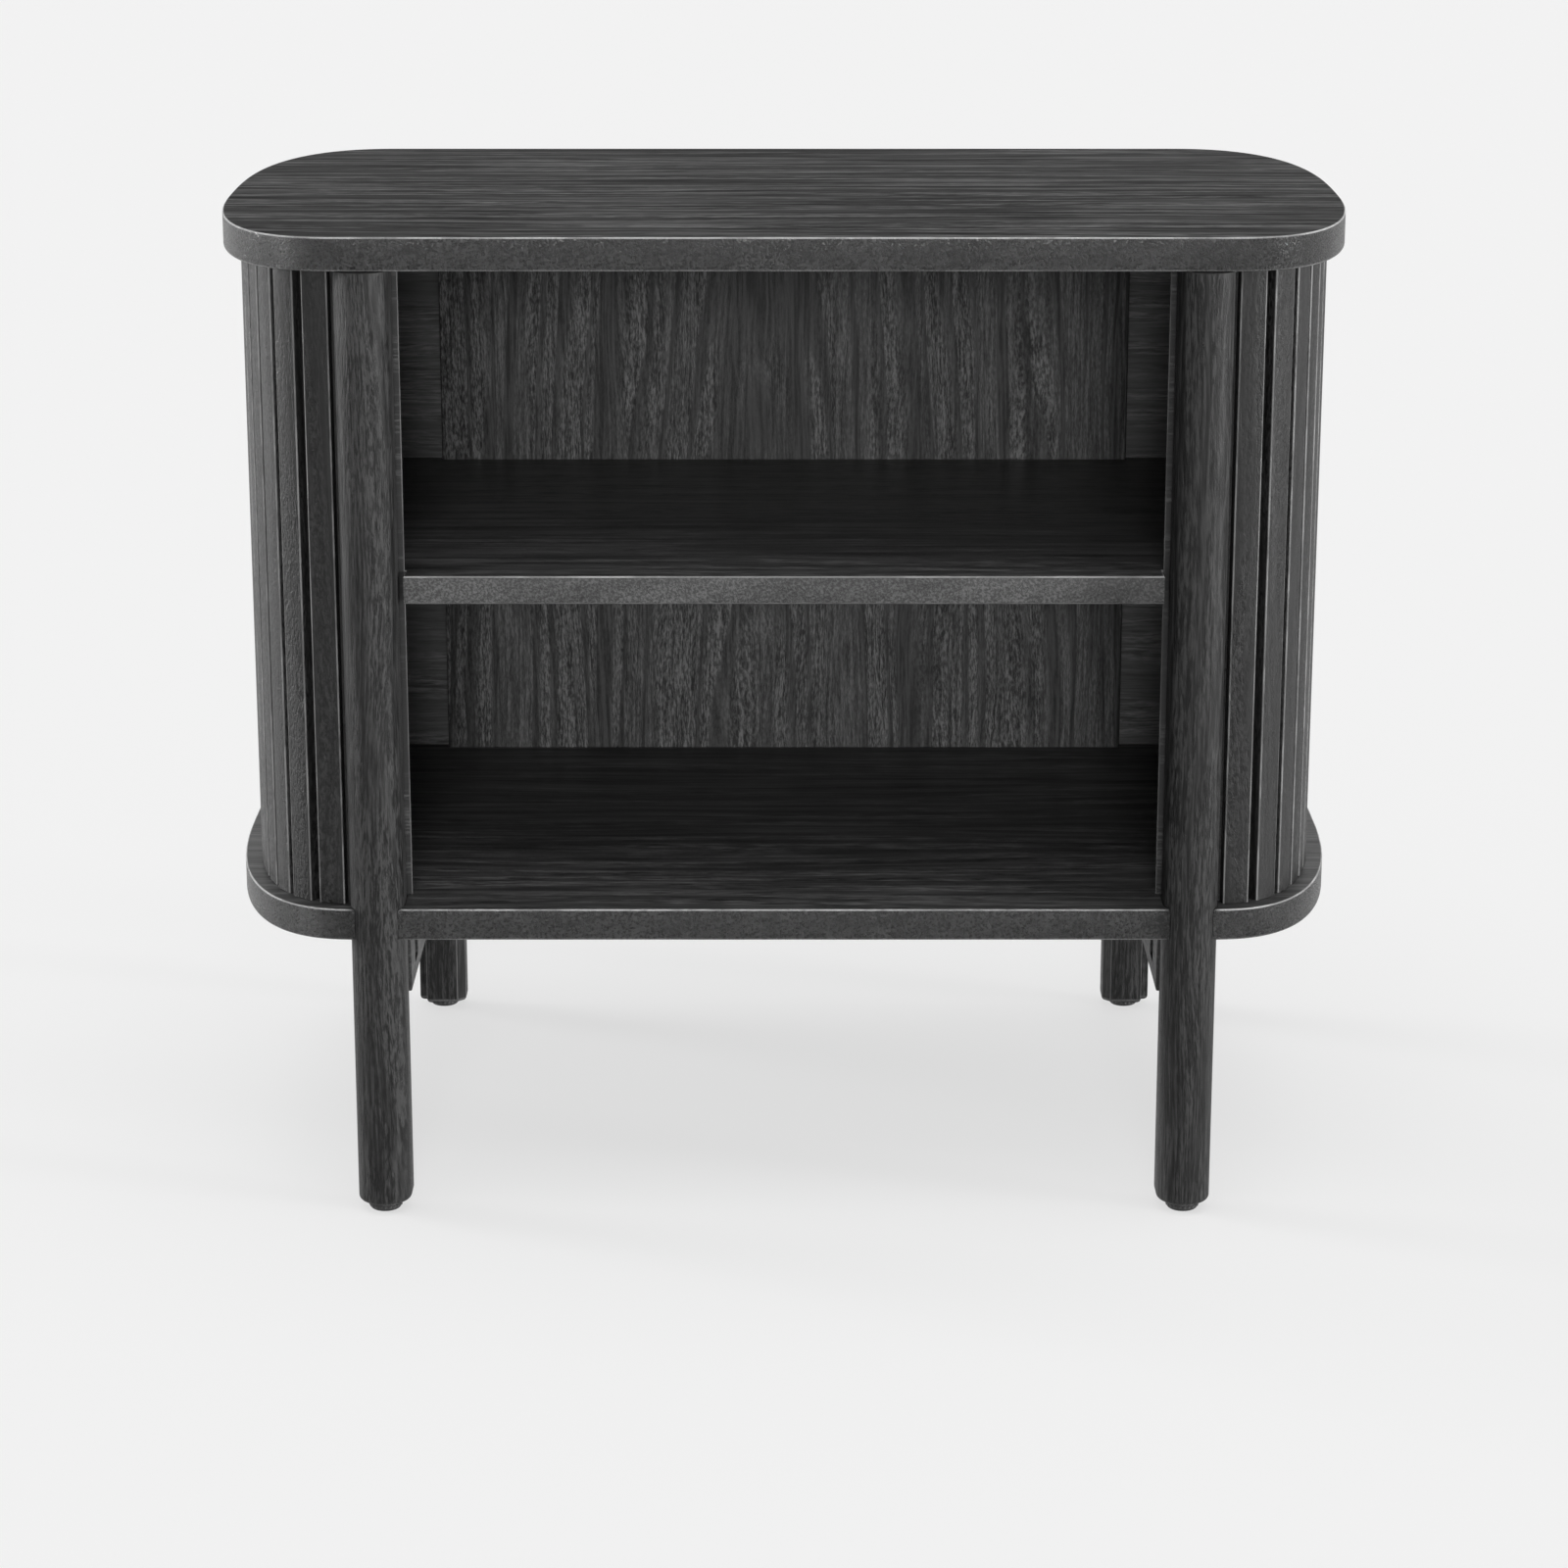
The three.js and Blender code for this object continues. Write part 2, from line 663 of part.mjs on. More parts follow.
function makeGlideStem(corner) {
  const across = [corner.x, corner.y];
  const headZ = stemFloor + fitGap;
  const head = barZ(stemHeadRadius, headZ, headZ + stemHeadHeight, across);
  const stem = barZ(stemRadius, headZ + stemHeadHeight / 2, stemTopZ, across);
  addPiece(`glide_stem_${corner.word}`, join([head, stem]), finishes.steel);

  const sleeveZ = legLowZ + fitGap;
  const sleeveTopZ = sleeveZ + glideInsertLength;
  const sleeve = barZ(glideInsertRadius, sleeveZ, sleeveTopZ, across);
  const bore = barZ(stemRadius + fitGap, sleeveZ - overrun, sleeveTopZ + overrun, across);
  addPiece(`glide_insert_${corner.word}`, cut(sleeve, [bore]), finishes.steel);
}

makeTopBoard();
makeBottomBoard();
makeMiddleShelf();
makeBackPanel();
for (const side of sides) {
  makeWallCore(side);
  makeWallLiner(side);
  makeSlats(side);
  makeRail(side);
}
for (const corner of corners) {
  makeLeg(corner);
  makeRailBolt(corner);
  makeBoardScrew(corner);
  makeGlideFoot(corner);
  makeGlideStem(corner);
}
makeDowels();

export default nightstand;
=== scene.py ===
"""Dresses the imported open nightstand: stained oak boards, slatted ends, legs, rails and glides.

Lengths are in millimetres and turned to metres where a mesh is made. The front faces -Y.
"""
import logging
import math
import random
from contextlib import contextmanager
from dataclasses import dataclass, field
from enum import Enum
from typing import Callable, Iterator, Sequence

import bmesh
import bpy
from mathutils import Matrix, Vector


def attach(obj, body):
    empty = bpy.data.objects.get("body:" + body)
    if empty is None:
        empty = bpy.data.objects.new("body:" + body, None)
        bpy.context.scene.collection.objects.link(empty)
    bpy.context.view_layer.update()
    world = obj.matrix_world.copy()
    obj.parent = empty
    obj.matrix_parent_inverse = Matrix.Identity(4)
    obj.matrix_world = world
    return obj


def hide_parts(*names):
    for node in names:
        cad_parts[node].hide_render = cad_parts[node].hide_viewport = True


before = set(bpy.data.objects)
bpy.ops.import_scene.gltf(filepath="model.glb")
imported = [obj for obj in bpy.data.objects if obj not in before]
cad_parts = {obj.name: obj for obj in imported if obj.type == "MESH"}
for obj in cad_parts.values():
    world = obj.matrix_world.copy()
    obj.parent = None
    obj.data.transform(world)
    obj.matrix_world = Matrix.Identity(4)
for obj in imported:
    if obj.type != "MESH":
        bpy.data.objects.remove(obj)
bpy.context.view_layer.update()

MM = 0.001
SAME_HEIGHT = 1e-6
PARALLEL = 0.99
FIT_GAP = 0.3
OVERRUN = 5.0
BORE_SIDES = 24
ROUND_SIDES = 32
ARRIS_STEPS = 2
NOISE_RANGE = (0.3, 0.7)
CABINET = "cabinet"

Point = tuple[float, float]
Point3 = tuple[float, float, float]
Piece = bpy.types.Object
Material = bpy.types.Material
Socket = bpy.types.NodeSocket
EdgeTest = Callable[[bmesh.types.BMEdge], bool]

logging.basicConfig(level=logging.INFO, format="%(message)s")
log = logging.getLogger("nightstand")


class Side(Enum):
    """The left or right end of the cabinet, as seen from the front."""

    LEFT = -1
    RIGHT = 1

    @property
    def word(self) -> str:
        """The side's name in the names of nodes."""
        return self.name.lower()

    @property
    def turn(self) -> Matrix:
        """The change from the right side's way round to this one's."""
        return Matrix.Diagonal((self.value, 1, 1, 1))


class End(Enum):
    """The front or the rear of the cabinet."""

    FRONT = -1
    REAR = 1

    @property
    def word(self) -> str:
        """The end's name in the names of nodes."""
        return self.name.lower()


class Grain(Enum):
    """Which way the fibres run. The value is the order of axes that puts the fibres last."""

    ALONG_X = ("Y", "Z", "X")
    ALONG_Y = ("X", "Z", "Y")
    UPRIGHT = ("X", "Y", "Z")


# Mesh work, as by hand


def only(piece: Piece) -> None:
    """Makes a piece the only one selected, and the active one.

    Args:
        piece: The piece to work on.
    """
    bpy.ops.object.select_all(action="DESELECT")
    piece.select_set(True)
    bpy.context.view_layer.objects.active = piece


def take_new(name: str) -> Piece:
    """Names the piece that an operator has just made.

    Args:
        name: Its new name.

    Returns:
        The new piece.
    """
    piece = bpy.context.active_object
    piece.name = name
    piece.data.name = name
    return piece


def settle() -> None:
    """Puts the new piece's place, turn and scale into its mesh."""
    bpy.ops.object.transform_apply(location=True, rotation=True, scale=True)


def discard(*pieces: Piece) -> None:
    """Deletes pieces that were only needed for a while."""
    for piece in pieces:
        bpy.data.objects.remove(piece)


@contextmanager
def editing(piece: Piece, mode: str = "FACE") -> Iterator[None]:
    """Edit mode on one piece, with nothing selected at its start.

    Args:
        piece: The piece to edit.
        mode: What is selected: VERT, EDGE or FACE.

    Yields:
        Nothing.
    """
    only(piece)
    bpy.ops.object.mode_set(mode="EDIT")
    bpy.ops.mesh.select_mode(type=mode)
    bpy.ops.mesh.select_all(action="DESELECT")
    yield
    bpy.ops.object.mode_set(mode="OBJECT")


def pick(piece: Piece, kind: str, wanted: Callable[..., bool]) -> None:
    """Selects points or edges by their place or direction, in edit mode.

    Args:
        piece: The piece in edit mode.
        kind: What is selected: verts or edges.
        wanted: Says whether one is taken.
    """
    mesh = bmesh.from_edit_mesh(piece.data)
    for element in getattr(mesh, kind):
        element.select_set(wanted(element))
    mesh.select_flush_mode()
    bmesh.update_edit_mesh(piece.data)


def face_outward() -> None:
    """Turns all faces of the piece in edit mode outwards."""
    bpy.ops.mesh.select_all(action="SELECT")
    bpy.ops.mesh.normals_make_consistent(inside=False)


@dataclass(frozen=True)
class Wear:
    """How much eased edges are lightened, as worn stain and as a painted highlight: upper ones the
    most, lower and rear ones the least.

    A face is part of a rounded edge if it is at most widest_face times as wide as the rounding.
    A point on the edge's middle touches no flat face turned less than flat_turn degrees from it.
    """

    widest_face: float = 1.2
    flat_turn: float = 70.0
    level: float = 0.6
    upward: float = 0.6
    rear_facing: float = 0.3
    rear_share: float = 0.25

    def at(self, facing: Vector) -> float:
        """The lightening, up to 1, as wear and painted highlight, where the middle of an edge faces
        a direction.
        """
        wear_and_highlight = min(1.0, self.level + self.upward * facing.z)
        return wear_and_highlight * (self.rear_share if facing.y > self.rear_facing else 1.0)

    def mark(self, piece: Piece, width: float) -> None:
        """Marks the points on the middle of rounded edges, so that the finish lightens there as
        wear and a painted highlight.

        Args:
            piece: The piece in edit mode, with the faces of its rounded edges selected.
            width: The rounding's size in mm.
        """
        mesh = bmesh.from_edit_mesh(piece.data)
        mesh.normal_update()
        layer = mesh.verts.layers.float.get("arris") or mesh.verts.layers.float.new("arris")
        widest = self.widest_face * width * MM
        strips = {face for face in mesh.faces if face.select
                  and face.calc_area() < widest * max(edge.calc_length() for edge in face.edges)}
        for vertex in mesh.verts:
            near = [face for face in vertex.link_faces if face in strips]
            if len(near) < 2:
                continue
            middle = sum((face.normal for face in near), Vector()).normalized()
            flats = [face for face in vertex.link_faces if face not in strips]
            turn = math.radians(self.flat_turn)
            if all(face.normal.angle(middle, 0) > turn for face in flats):
                vertex[layer] = self.at(middle)
        bmesh.update_edit_mesh(piece.data)


def ease(piece: Piece, width: float, steps: int, wanted: EdgeTest) -> None:
    """Rounds chosen edges of a piece and marks them to be lightened as wear and a painted
    highlight.

    Args:
        piece: The piece.
        width: The rounding's size in mm.
        steps: How many faces go round it.
        wanted: Says whether an edge is rounded.
    """
    with editing(piece, "EDGE"):
        pick(piece, "edges", wanted)
        bpy.ops.mesh.bevel(offset=width * MM, offset_type="OFFSET", segments=steps, profile=0.5,
                           affect="EDGES")
        bpy.ops.mesh.select_mode(type="FACE")
        Wear().mark(piece, width)


def tint(piece: Piece, level: float,
         wanted: Callable[[bpy.types.MeshPolygon], bool] = lambda face: True) -> None:
    """Gives faces a tone that their finish adds to the stain's: -0.5 is nearly black. It carries
    the slats' own tones and, on some faces, painted shade and painted highlight.
    """
    tone = piece.data.attributes.new("tone", "FLOAT", "FACE")
    tone.data.foreach_set("value", [level if wanted(f) else 0.0 for f in piece.data.polygons])


def at_height(z: float) -> EdgeTest:
    """A test for the edges that lie level at a height in mm."""
    return lambda edge: all(abs(v.co.z - z * MM) < SAME_HEIGHT for v in edge.verts)


def runs_along(axis: int) -> EdgeTest:
    """A test for the edges that run along an axis: 0 is X, 1 is Y and 2 is Z."""
    return lambda e: abs((e.verts[0].co - e.verts[1].co).normalized()[axis]) > PARALLEL


def turns_corner(degrees: float) -> EdgeTest:
    """A test for the upright edges where the sides turn by more than an angle."""
    upright = runs_along(2)
    return lambda edge: upright(edge) and edge.calc_face_angle(0) > math.radians(degrees)


def smooth(piece: Piece, degrees: float = 32.0) -> None:
    """Shades a piece smooth, apart from the edges that turn by more than an angle."""
    only(piece)
    bpy.ops.object.shade_smooth_by_angle(angle=math.radians(degrees))


def plate(name: str, outline: Sequence[Point], low: float, high: float) -> Piece:
    """An outline raised between two heights: a round is added, laid along it and extruded.

    Args:
        name: The piece's name.
        outline: The outline's corners, in order.
        low: The underside's height.
        high: The upper side's height.

    Returns:
        The closed piece.
    """
    bpy.ops.mesh.primitive_circle_add(vertices=len(outline), radius=1, fill_type="NGON")
    piece = take_new(name)
    for vertex, (x, y) in zip(piece.data.vertices, outline):
        vertex.co = (x * MM, y * MM, low * MM)
    rise = (0, 0, (high - low) * MM)
    with editing(piece):
        bpy.ops.mesh.select_all(action="SELECT")
        bpy.ops.mesh.extrude_region_move(TRANSFORM_OT_translate={"value": rise})
        face_outward()
    return piece


def block(name: str, low: Point3, high: Point3) -> Piece:
    """A block between two corners.

    Args:
        name: The piece's name.
        low: One corner.
        high: The other corner.

    Returns:
        The block.
    """
    middle = [(a + b) / 2 * MM for a, b in zip(low, high)]
    bpy.ops.mesh.primitive_cube_add(size=1, location=middle)
    piece = take_new(name)
    piece.scale = [abs(b - a) * MM for a, b in zip(low, high)]
    settle()
    return piece


def bore(radius: float, start: Point3, end: Point3, sides: int = BORE_SIDES) -> Piece:
    """The tool for a round hole between two places.

    Args:
        radius: The hole's radius.
        start: One end.
        end: The other end.
        sides: How many faces go round it.

    Returns:
        The tool.
    """
    a, b = Vector(start) * MM, Vector(end) * MM
    turn = (b - a).to_track_quat("Z", "Y").to_euler()
    bpy.ops.mesh.primitive_cylinder_add(vertices=sides, radius=radius * MM, depth=(b - a).length,
                                        location=(a + b) / 2, rotation=turn)
    settle()
    return take_new("bore")


def upright_bore(radius: float, place: Point, low: float, high: float,
                 sides: int = BORE_SIDES) -> Piece:
    """The tool for an upright round hole between two heights."""
    return bore(radius, (*place, low), (*place, high), sides)


def turned(name: str, profile: Sequence[Point], sides: int = ROUND_SIDES) -> Piece:
    """A shape turned about the Z axis: a round is added, then extruded and resized ring by ring.

    Args:
        name: The piece's name.
        profile: (radius, height) of each ring, from the first end to the last.
        sides: How many faces go round it.

    Returns:
        The closed piece, at the origin.
    """
    radius, height = profile[0]
    bpy.ops.mesh.primitive_circle_add(vertices=sides, radius=radius * MM, fill_type="NGON",
                                      location=(0, 0, height * MM))
    settle()
    piece = take_new(name)
    with editing(piece):
        bpy.ops.mesh.select_all(action="SELECT")
        for next_radius, next_height in profile[1:]:
            rise = (0, 0, (next_height - height) * MM)
            bpy.ops.mesh.extrude_region_move(TRANSFORM_OT_translate={"value": rise})
            ratio = next_radius / radius
            bpy.ops.transform.resize(value=(ratio, ratio, 1),
                                     center_override=(0, 0, next_height * MM))
            radius, height = next_radius, next_height
        face_outward()
    return piece


def cut(piece: Piece, *tools: Piece) -> None:
    """Cuts a piece with tools, which are used up.

    Args:
        piece: The piece that is cut.
        tools: Closed shapes that are taken away from it.
    """
    for tool in tools:
        only(piece)
        modifier = piece.modifiers.new("cut", "BOOLEAN")
        modifier.operation = "DIFFERENCE"
        modifier.solver = "EXACT"
        modifier.object = tool
        bpy.ops.object.modifier_apply(modifier=modifier.name)
        discard(tool)


def carried(piece: Piece, change: Matrix) -> Piece:
    """Moves, turns or mirrors a piece in its mesh.

    Args:
        piece: The piece.
        change: Where it goes from where it is.

    Returns:
        The same piece, its faces still outward.
    """
    piece.data.transform(change)
    if change.determinant() < 0:
        piece.data.flip_normals()
    return piece


def copied(piece: Piece, name: str, change: Matrix) -> Piece:
    """A copy of a piece with its own mesh, moved, turned or mirrored.

    Args:
        piece: The piece to copy.
        name: The copy's name.
        change: Where the copy goes from where the piece is.

    Returns:
        The copy.
    """
    only(piece)
    bpy.ops.object.duplicate(linked=False)
    return carried(take_new(name), change)


def joined(pieces: Sequence[Piece], name: str) -> Piece:
    """Several meshes as one piece.

    Args:
        pieces: The meshes to join.
        name: The piece's name.

    Returns:
        The joined piece.
    """
    only(pieces[0])
    for piece in pieces[1:]:
        piece.select_set(True)
    bpy.ops.object.join()
    return take_new(name)


def moved(x: float, y: float) -> Matrix:
    """The change that moves a mesh sideways and in depth."""
    return Matrix.Translation(Vector((x, y, 0)) * MM)


# Finishes


def grey(level: float) -> Point3:
    """A linear grey."""
    return (level, level, level)


class Nodes:
    """A tree of shader nodes, with short calls that add and join them."""

    def __init__(self, tree: bpy.types.NodeTree) -> None:
        """Starts with an empty tree."""
        self.tree = tree
        tree.nodes.clear()

    def feed(self, socket: Socket, value: object) -> None:
        """Joins an input to a socket, or sets its value.

        Args:
            socket: The input.
            value: What it is joined to or set to.
        """
        if isinstance(value, bpy.types.NodeSocket):
            self.tree.links.new(value, socket)
        else:
            socket.default_value = value

    def add(self, kind: str, sockets: dict | None = None, **settings: object) -> bpy.types.Node:
        """Adds a node.

        Args:
            kind: The node's type, without its ShaderNode prefix.
            sockets: What each named or numbered input is joined to or set to.
            settings: The node's own settings.

        Returns:
            The node.
        """
        node = self.tree.nodes.new("ShaderNode" + kind)
        for name, value in settings.items():
            setattr(node, name, value)
        for name, value in (sockets or {}).items():
            self.feed(node.inputs[name], value)
        return node

    def math(self, operation: str, a: object, b: object, clamp: bool = False) -> Socket:
        """One sum on two values, kept between 0 and 1 where clamp is set."""
        return self.add("Math", {0: a, 1: b}, operation=operation, use_clamp=clamp).outputs[0]

    def plus(self, value: object, part: Socket, share: float) -> Socket:
        """A value with a share of another one added."""
        return self.math("ADD", value, self.math("MULTIPLY", part, share))

    def vector(self, operation: str, a: object, b: object) -> Socket:
        """One sum on two vectors."""
        return self.add("VectorMath", {0: a, 1: b}, operation=operation).outputs[0]

    def attribute(self, name: str) -> Socket:
        """A number that the mesh carries, 0 where it has none."""
        return self.add("Attribute", attribute_name=name).outputs["Fac"]


class Graph(Nodes):
    """The nodes of a material with one Principled shader."""

    noise_reach: float = 0.13
    # The eased edges' lightening: part wear, part painted highlight.
    wear_scale: Point3 = (30.0, 30.0, 30.0)
    least_wear: float = 0.55
    lightest: float = 2.4

    def __init__(self, name: str) -> None:
        """Starts the material.

        Args:
            name: Its name.
        """
        self.material = bpy.data.materials.new(name)
        self.material.use_nodes = True
        super().__init__(self.material.node_tree)
        self.shader = self.add("BsdfPrincipled")
        self.add("OutputMaterial", {"Surface": self.shader.outputs["BSDF"]})
        self.place = self.add("TexCoord").outputs["Object"]

    def noise(self, vector: Socket, scale: float | Point3, detail: float = 3.0, rough: float = 0.5,
              output: str = "Fac") -> Socket:
        """Soft noise.

        Args:
            vector: Where it is read.
            scale: Its frequency, or one for each axis.
            detail: How many finer layers it has.
            rough: How strong those are.
            output: Which of the node's outputs is taken.

        Returns:
            The noise's socket.
        """
        if isinstance(scale, tuple):
            vector, scale = self.vector("MULTIPLY", vector, scale), 1.0
        sockets = {"Vector": vector, "Scale": scale, "Detail": detail, "Roughness": rough}
        return self.add("TexNoise", sockets).outputs[output]

    def spread(self, value: Socket, low: float, high: float, to_low: float = 0.0,
               to_high: float = 1.0) -> Socket:
        """A range of values stretched to another one, smoothly and within its ends."""
        sockets = {0: value, 1: low, 2: high, 3: to_low, 4: to_high}
        return self.add("MapRange", sockets, interpolation_type="SMOOTHSTEP").outputs[0]

    def swing(self, vector: Socket, scale: Point3, detail: float = 3.0,
              rough: float = 0.5) -> Socket:
        """Noise drawn out to run evenly from -0.5 to 0.5."""
        value = self.noise(vector, scale, detail, rough)
        return self.spread(value, 0.5 - self.noise_reach, 0.5 + self.noise_reach, -0.5, 0.5)

    def ramp(self, value: Socket, *stops: tuple[float, Point3]) -> Socket:
        """Colours along a value.

        Args:
            value: The value's socket.
            stops: Each place from 0 to 1 with its colour.

        Returns:
            The colour's socket.
        """
        node = self.add("ValToRGB", {0: value})
        marks = node.color_ramp.elements
        while len(marks) < len(stops):
            marks.new(0.5)
        for mark, (place, colour) in zip(marks, stops):
            mark.position = place
            mark.color = (*colour, 1.0)
        return node.outputs["Color"]

    def stain(self, value: Socket, tone: float, darkest: float, edge_tone: float) -> Socket:
        """The stain's greys along a value, lightened unevenly along the piece's eased edges as wear
        and a painted highlight.

        Args:
            value: Where the stain is dark, at 0, or light, at 1.
            tone: The grey in the middle.
            darkest: How dark it gets, as a share of the tone.
            edge_tone: The grey where the edge wear and painted highlight are strongest.

        Returns:
            The colour's socket.
        """
        colour = self.ramp(value, (0.0, grey(darkest * tone)), (0.5, grey(tone)),
                           (1.0, grey(self.lightest * tone)))
        # Eased edges are lightened unevenly: part wear, part painted highlight.
        wear_and_highlight = self.spread(self.swing(self.place, self.wear_scale, 3, 0.6), -0.5, 0.5,
                           self.least_wear, 1.0)
        share = self.math("MULTIPLY", self.attribute("arris"), wear_and_highlight)
        worn_and_highlit = self.ramp(share, (0.0, grey(0)), (1.0, grey(edge_tone)))
        return self.vector("MAXIMUM", colour, worn_and_highlit)

    def bump(self, height: Socket, depth: float) -> None:
        """Gives the shader a relief, as deep in mm where the height is 1."""
        sockets = {"Height": height, "Distance": depth * MM, "Strength": 1.0}
        self.feed(self.shader.inputs["Normal"], self.add("Bump", sockets).outputs["Normal"])

    def shade(self, colour: Socket, roughness: Socket, specular: float = 0.5,
              metallic: float = 0.0) -> Material:
        """Feeds the shader. What is the same all over is set on the shader's own socket.

        Args:
            colour: The base colour.
            roughness: The roughness.
            specular: The specular level.
            metallic: 1 for a metal.

        Returns:
            The finished material.
        """
        self.feed(self.shader.inputs["Base Color"], colour)
        self.feed(self.shader.inputs["Roughness"], roughness)
        self.shader.inputs["Specular IOR Level"].default_value = specular
        self.shader.inputs["Metallic"].default_value = metallic
        return self.material


@dataclass(frozen=True)
class StainedOak:
    """Open-pored oak under a charcoal stain and a matt lacquer.

    The growth rings are rounds about a pith that leans across the board, so that a flat face shows
    straight bands far from it and arches near it. Late wood is dark and smooth, early wood is
    streaked with light and dark fibres. Streak and dash sizes are across and along the fibres.
    Scales are frequencies on each axis, the fibres' last.
    """

    name: str
    tone: float
    grain: Grain
    ring_width: float = 12.0
    pith: Point = (0.0, -60.0)
    lean: float = 0.05
    figure: float = 0.14
    rings_share: float = 0.12
    streak_size: Point = (2.4, 60.0)
    streaks: float = 0.34
    dash_size: Point = (1.1, 9.0)
    dashes: float = 0.40
    pores: float = 0.24
    relief: float = 0.10
    roughness: Point = (0.46, 0.62)
    specular: float = 0.20
    # The grey of eased edges where most lightened, as wear and a painted highlight.
    edge_tone: float = 0.22
    cut_at: Point3 = (0.0, 0.0, 0.0)
    darkest: float = 0.25
    sway_scale: Point3 = (17.0, 17.0, 2.6)
    sway_reach: float = 34.0
    drift_scale: Point3 = (38.0, 1.5, 0.0)
    band_scale: Point3 = (40.0, 40.0, 1.6)
    late_rise: Point = (0.45, 0.80)
    late_fall: Point = (0.90, 1.0)
    late_fibres: float = 0.35
    weak_band: float = 0.45
    pore_length: Point = (1.3, 3.5)
    pore_range: Point = (0.24, 0.44)
    pore_lift: float = 0.15
    relief_share: float = 0.8

    def along_fibres(self, g: Graph) -> Socket:
        """Coordinates with the fibres on Z, shifted to where the piece was cut from the tree.

        Args:
            g: The material's nodes.

        Returns:
            The coordinates' socket.
        """
        parts = g.add("SeparateXYZ", {0: g.place}).outputs
        ordered = g.add("CombineXYZ", {i: parts[axis] for i, axis in enumerate(self.grain.value)})
        return g.vector("ADD", ordered.outputs[0], [length * MM for length in self.cut_at])

    def swayed(self, g: Graph, place: Socket) -> Socket:
        """Coordinates whose fibres sway a little from side to side.

        Args:
            g: The material's nodes.
            place: Coordinates with the fibres on Z.

        Returns:
            The coordinates' socket.
        """
        wobble = g.noise(place, self.sway_scale, 2, 0.5, output="Color")
        bend = g.vector("SUBTRACT", wobble, grey(0.5))
        reach = self.sway_reach * MM
        return g.vector("ADD", g.vector("MULTIPLY", bend, (reach, reach, 0.0)), place)

    def rings(self, g: Graph, place: Socket) -> Socket:
        """Growth rings, from 0 in early wood to 1 in late wood.

        Args:
            g: The material's nodes.
            place: Coordinates with the fibres on Z.

        Returns:
            The rings' socket.
        """
        parts = g.add("SeparateXYZ", {0: place}).outputs
        across = g.math("SUBTRACT", parts[0], self.pith[0] * MM)
        deep = g.math("SUBTRACT", g.plus(parts[1], parts[2], self.lean), self.pith[1] * MM)
        centred = g.add("CombineXYZ", {0: across, 1: deep}).outputs[0]
        radius = g.add("VectorMath", {0: centred}, operation="LENGTH").outputs["Value"]
        around = g.add("CombineXYZ", {0: radius, 1: parts[2]}).outputs[0]
        drift = g.swing(around, self.drift_scale, 2)
        count = g.math("DIVIDE", radius, self.ring_width * MM)
        turn = g.add("Math", {0: g.math("ADD", count, drift)}, operation="FRACT").outputs[0]
        fall = g.spread(turn, *self.late_fall, 1.0, 0.0)
        return g.math("MULTIPLY", g.spread(turn, *self.late_rise), fall)

    def fibres(self, g: Graph, place: Socket, size: Point, detail: float, rough: float) -> Socket:
        """Long grains of a size across and along the fibres, from -0.5 to 0.5."""
        across, along = 1 / (size[0] * MM), 1 / (size[1] * MM)
        return g.swing(place, (across, across, along), detail, rough)

    def build(self) -> Material:
        """Makes the material.

        Returns:
            The material.
        """
        g = Graph(self.name)
        place = self.swayed(g, self.along_fibres(g))
        late = self.rings(g, place)
        band = g.swing(place, self.band_scale)
        streak = self.fibres(g, place, self.streak_size, 3, 0.6)
        dash = self.fibres(g, place, self.dash_size, 3, 0.65)
        wide, long = (size * times for size, times in zip(self.dash_size, self.pore_length))
        line = self.fibres(g, place, (wide, long), 1, 0.3)
        early = g.math("MULTIPLY", g.spread(late, 0.0, 1.0, 1.0, self.late_fibres),
                       g.spread(band, -0.5, 0.3, self.weak_band, 1.0))
        pore = g.math("MULTIPLY", g.spread(line, *self.pore_range), early)
        speckle = g.math("MULTIPLY", dash, early)
        value = 0.5 + self.pores * self.pore_lift
        for part, share in ((late, -self.rings_share), (band, self.figure),
                            (streak, self.streaks), (speckle, self.dashes), (pore, -self.pores)):
            value = g.plus(value, part, share)
        value = g.math("ADD", value, g.attribute("tone"), clamp=True)
        raised = g.math("MULTIPLY", speckle, self.relief_share)
        g.bump(g.plus(raised, pore, -self.relief_share), self.relief)
        return g.shade(g.stain(value, self.tone, self.darkest, self.edge_tone),
                       g.spread(dash, -0.5, 0.5, *self.roughness), self.specular)


@dataclass(frozen=True)
class OakEdging:
    """The boards' moulded edges: the stain on a finely pitted face, softly clouded on the slant."""

    name: str
    tone: float
    pits: float = 0.50
    relief: float = 0.16
    roughness: Point = (0.34, 0.50)
    specular: float = 0.50
    # The grey of eased edges where most lightened, as wear and a painted highlight.
    edge_tone: float = 0.55
    darkest: float = 0.30
    slant: float = 0.32
    cloud_scale: Point3 = (9.0, 9.0, 42.0)
    clouds: float = 0.16
    pit_scale: Point3 = (700.0, 720.0, 760.0)
    thread_scale: Point3 = (60.0, 60.0, 420.0)
    threads: float = 0.3

    def build(self) -> Material:
        """Makes the material.

        Returns:
            The material.
        """
        g = Graph(self.name)
        turn = {"Vector": g.place, "Axis": (0, 1, 0), "Angle": self.slant}
        slanted = g.add("VectorRotate", turn).outputs[0]
        pit = g.swing(g.place, self.pit_scale, 3, 0.75)
        value = g.plus(0.5, g.swing(slanted, self.cloud_scale), self.clouds)
        value = g.plus(value, pit, self.pits)
        thread = g.swing(slanted, self.thread_scale, 2, 0.6)
        value = g.plus(value, thread, self.threads * self.pits)
        g.bump(pit, self.relief)
        return g.shade(g.stain(value, self.tone, self.darkest, self.edge_tone),
                       g.spread(pit, -0.5, 0.5, *self.roughness), self.specular)


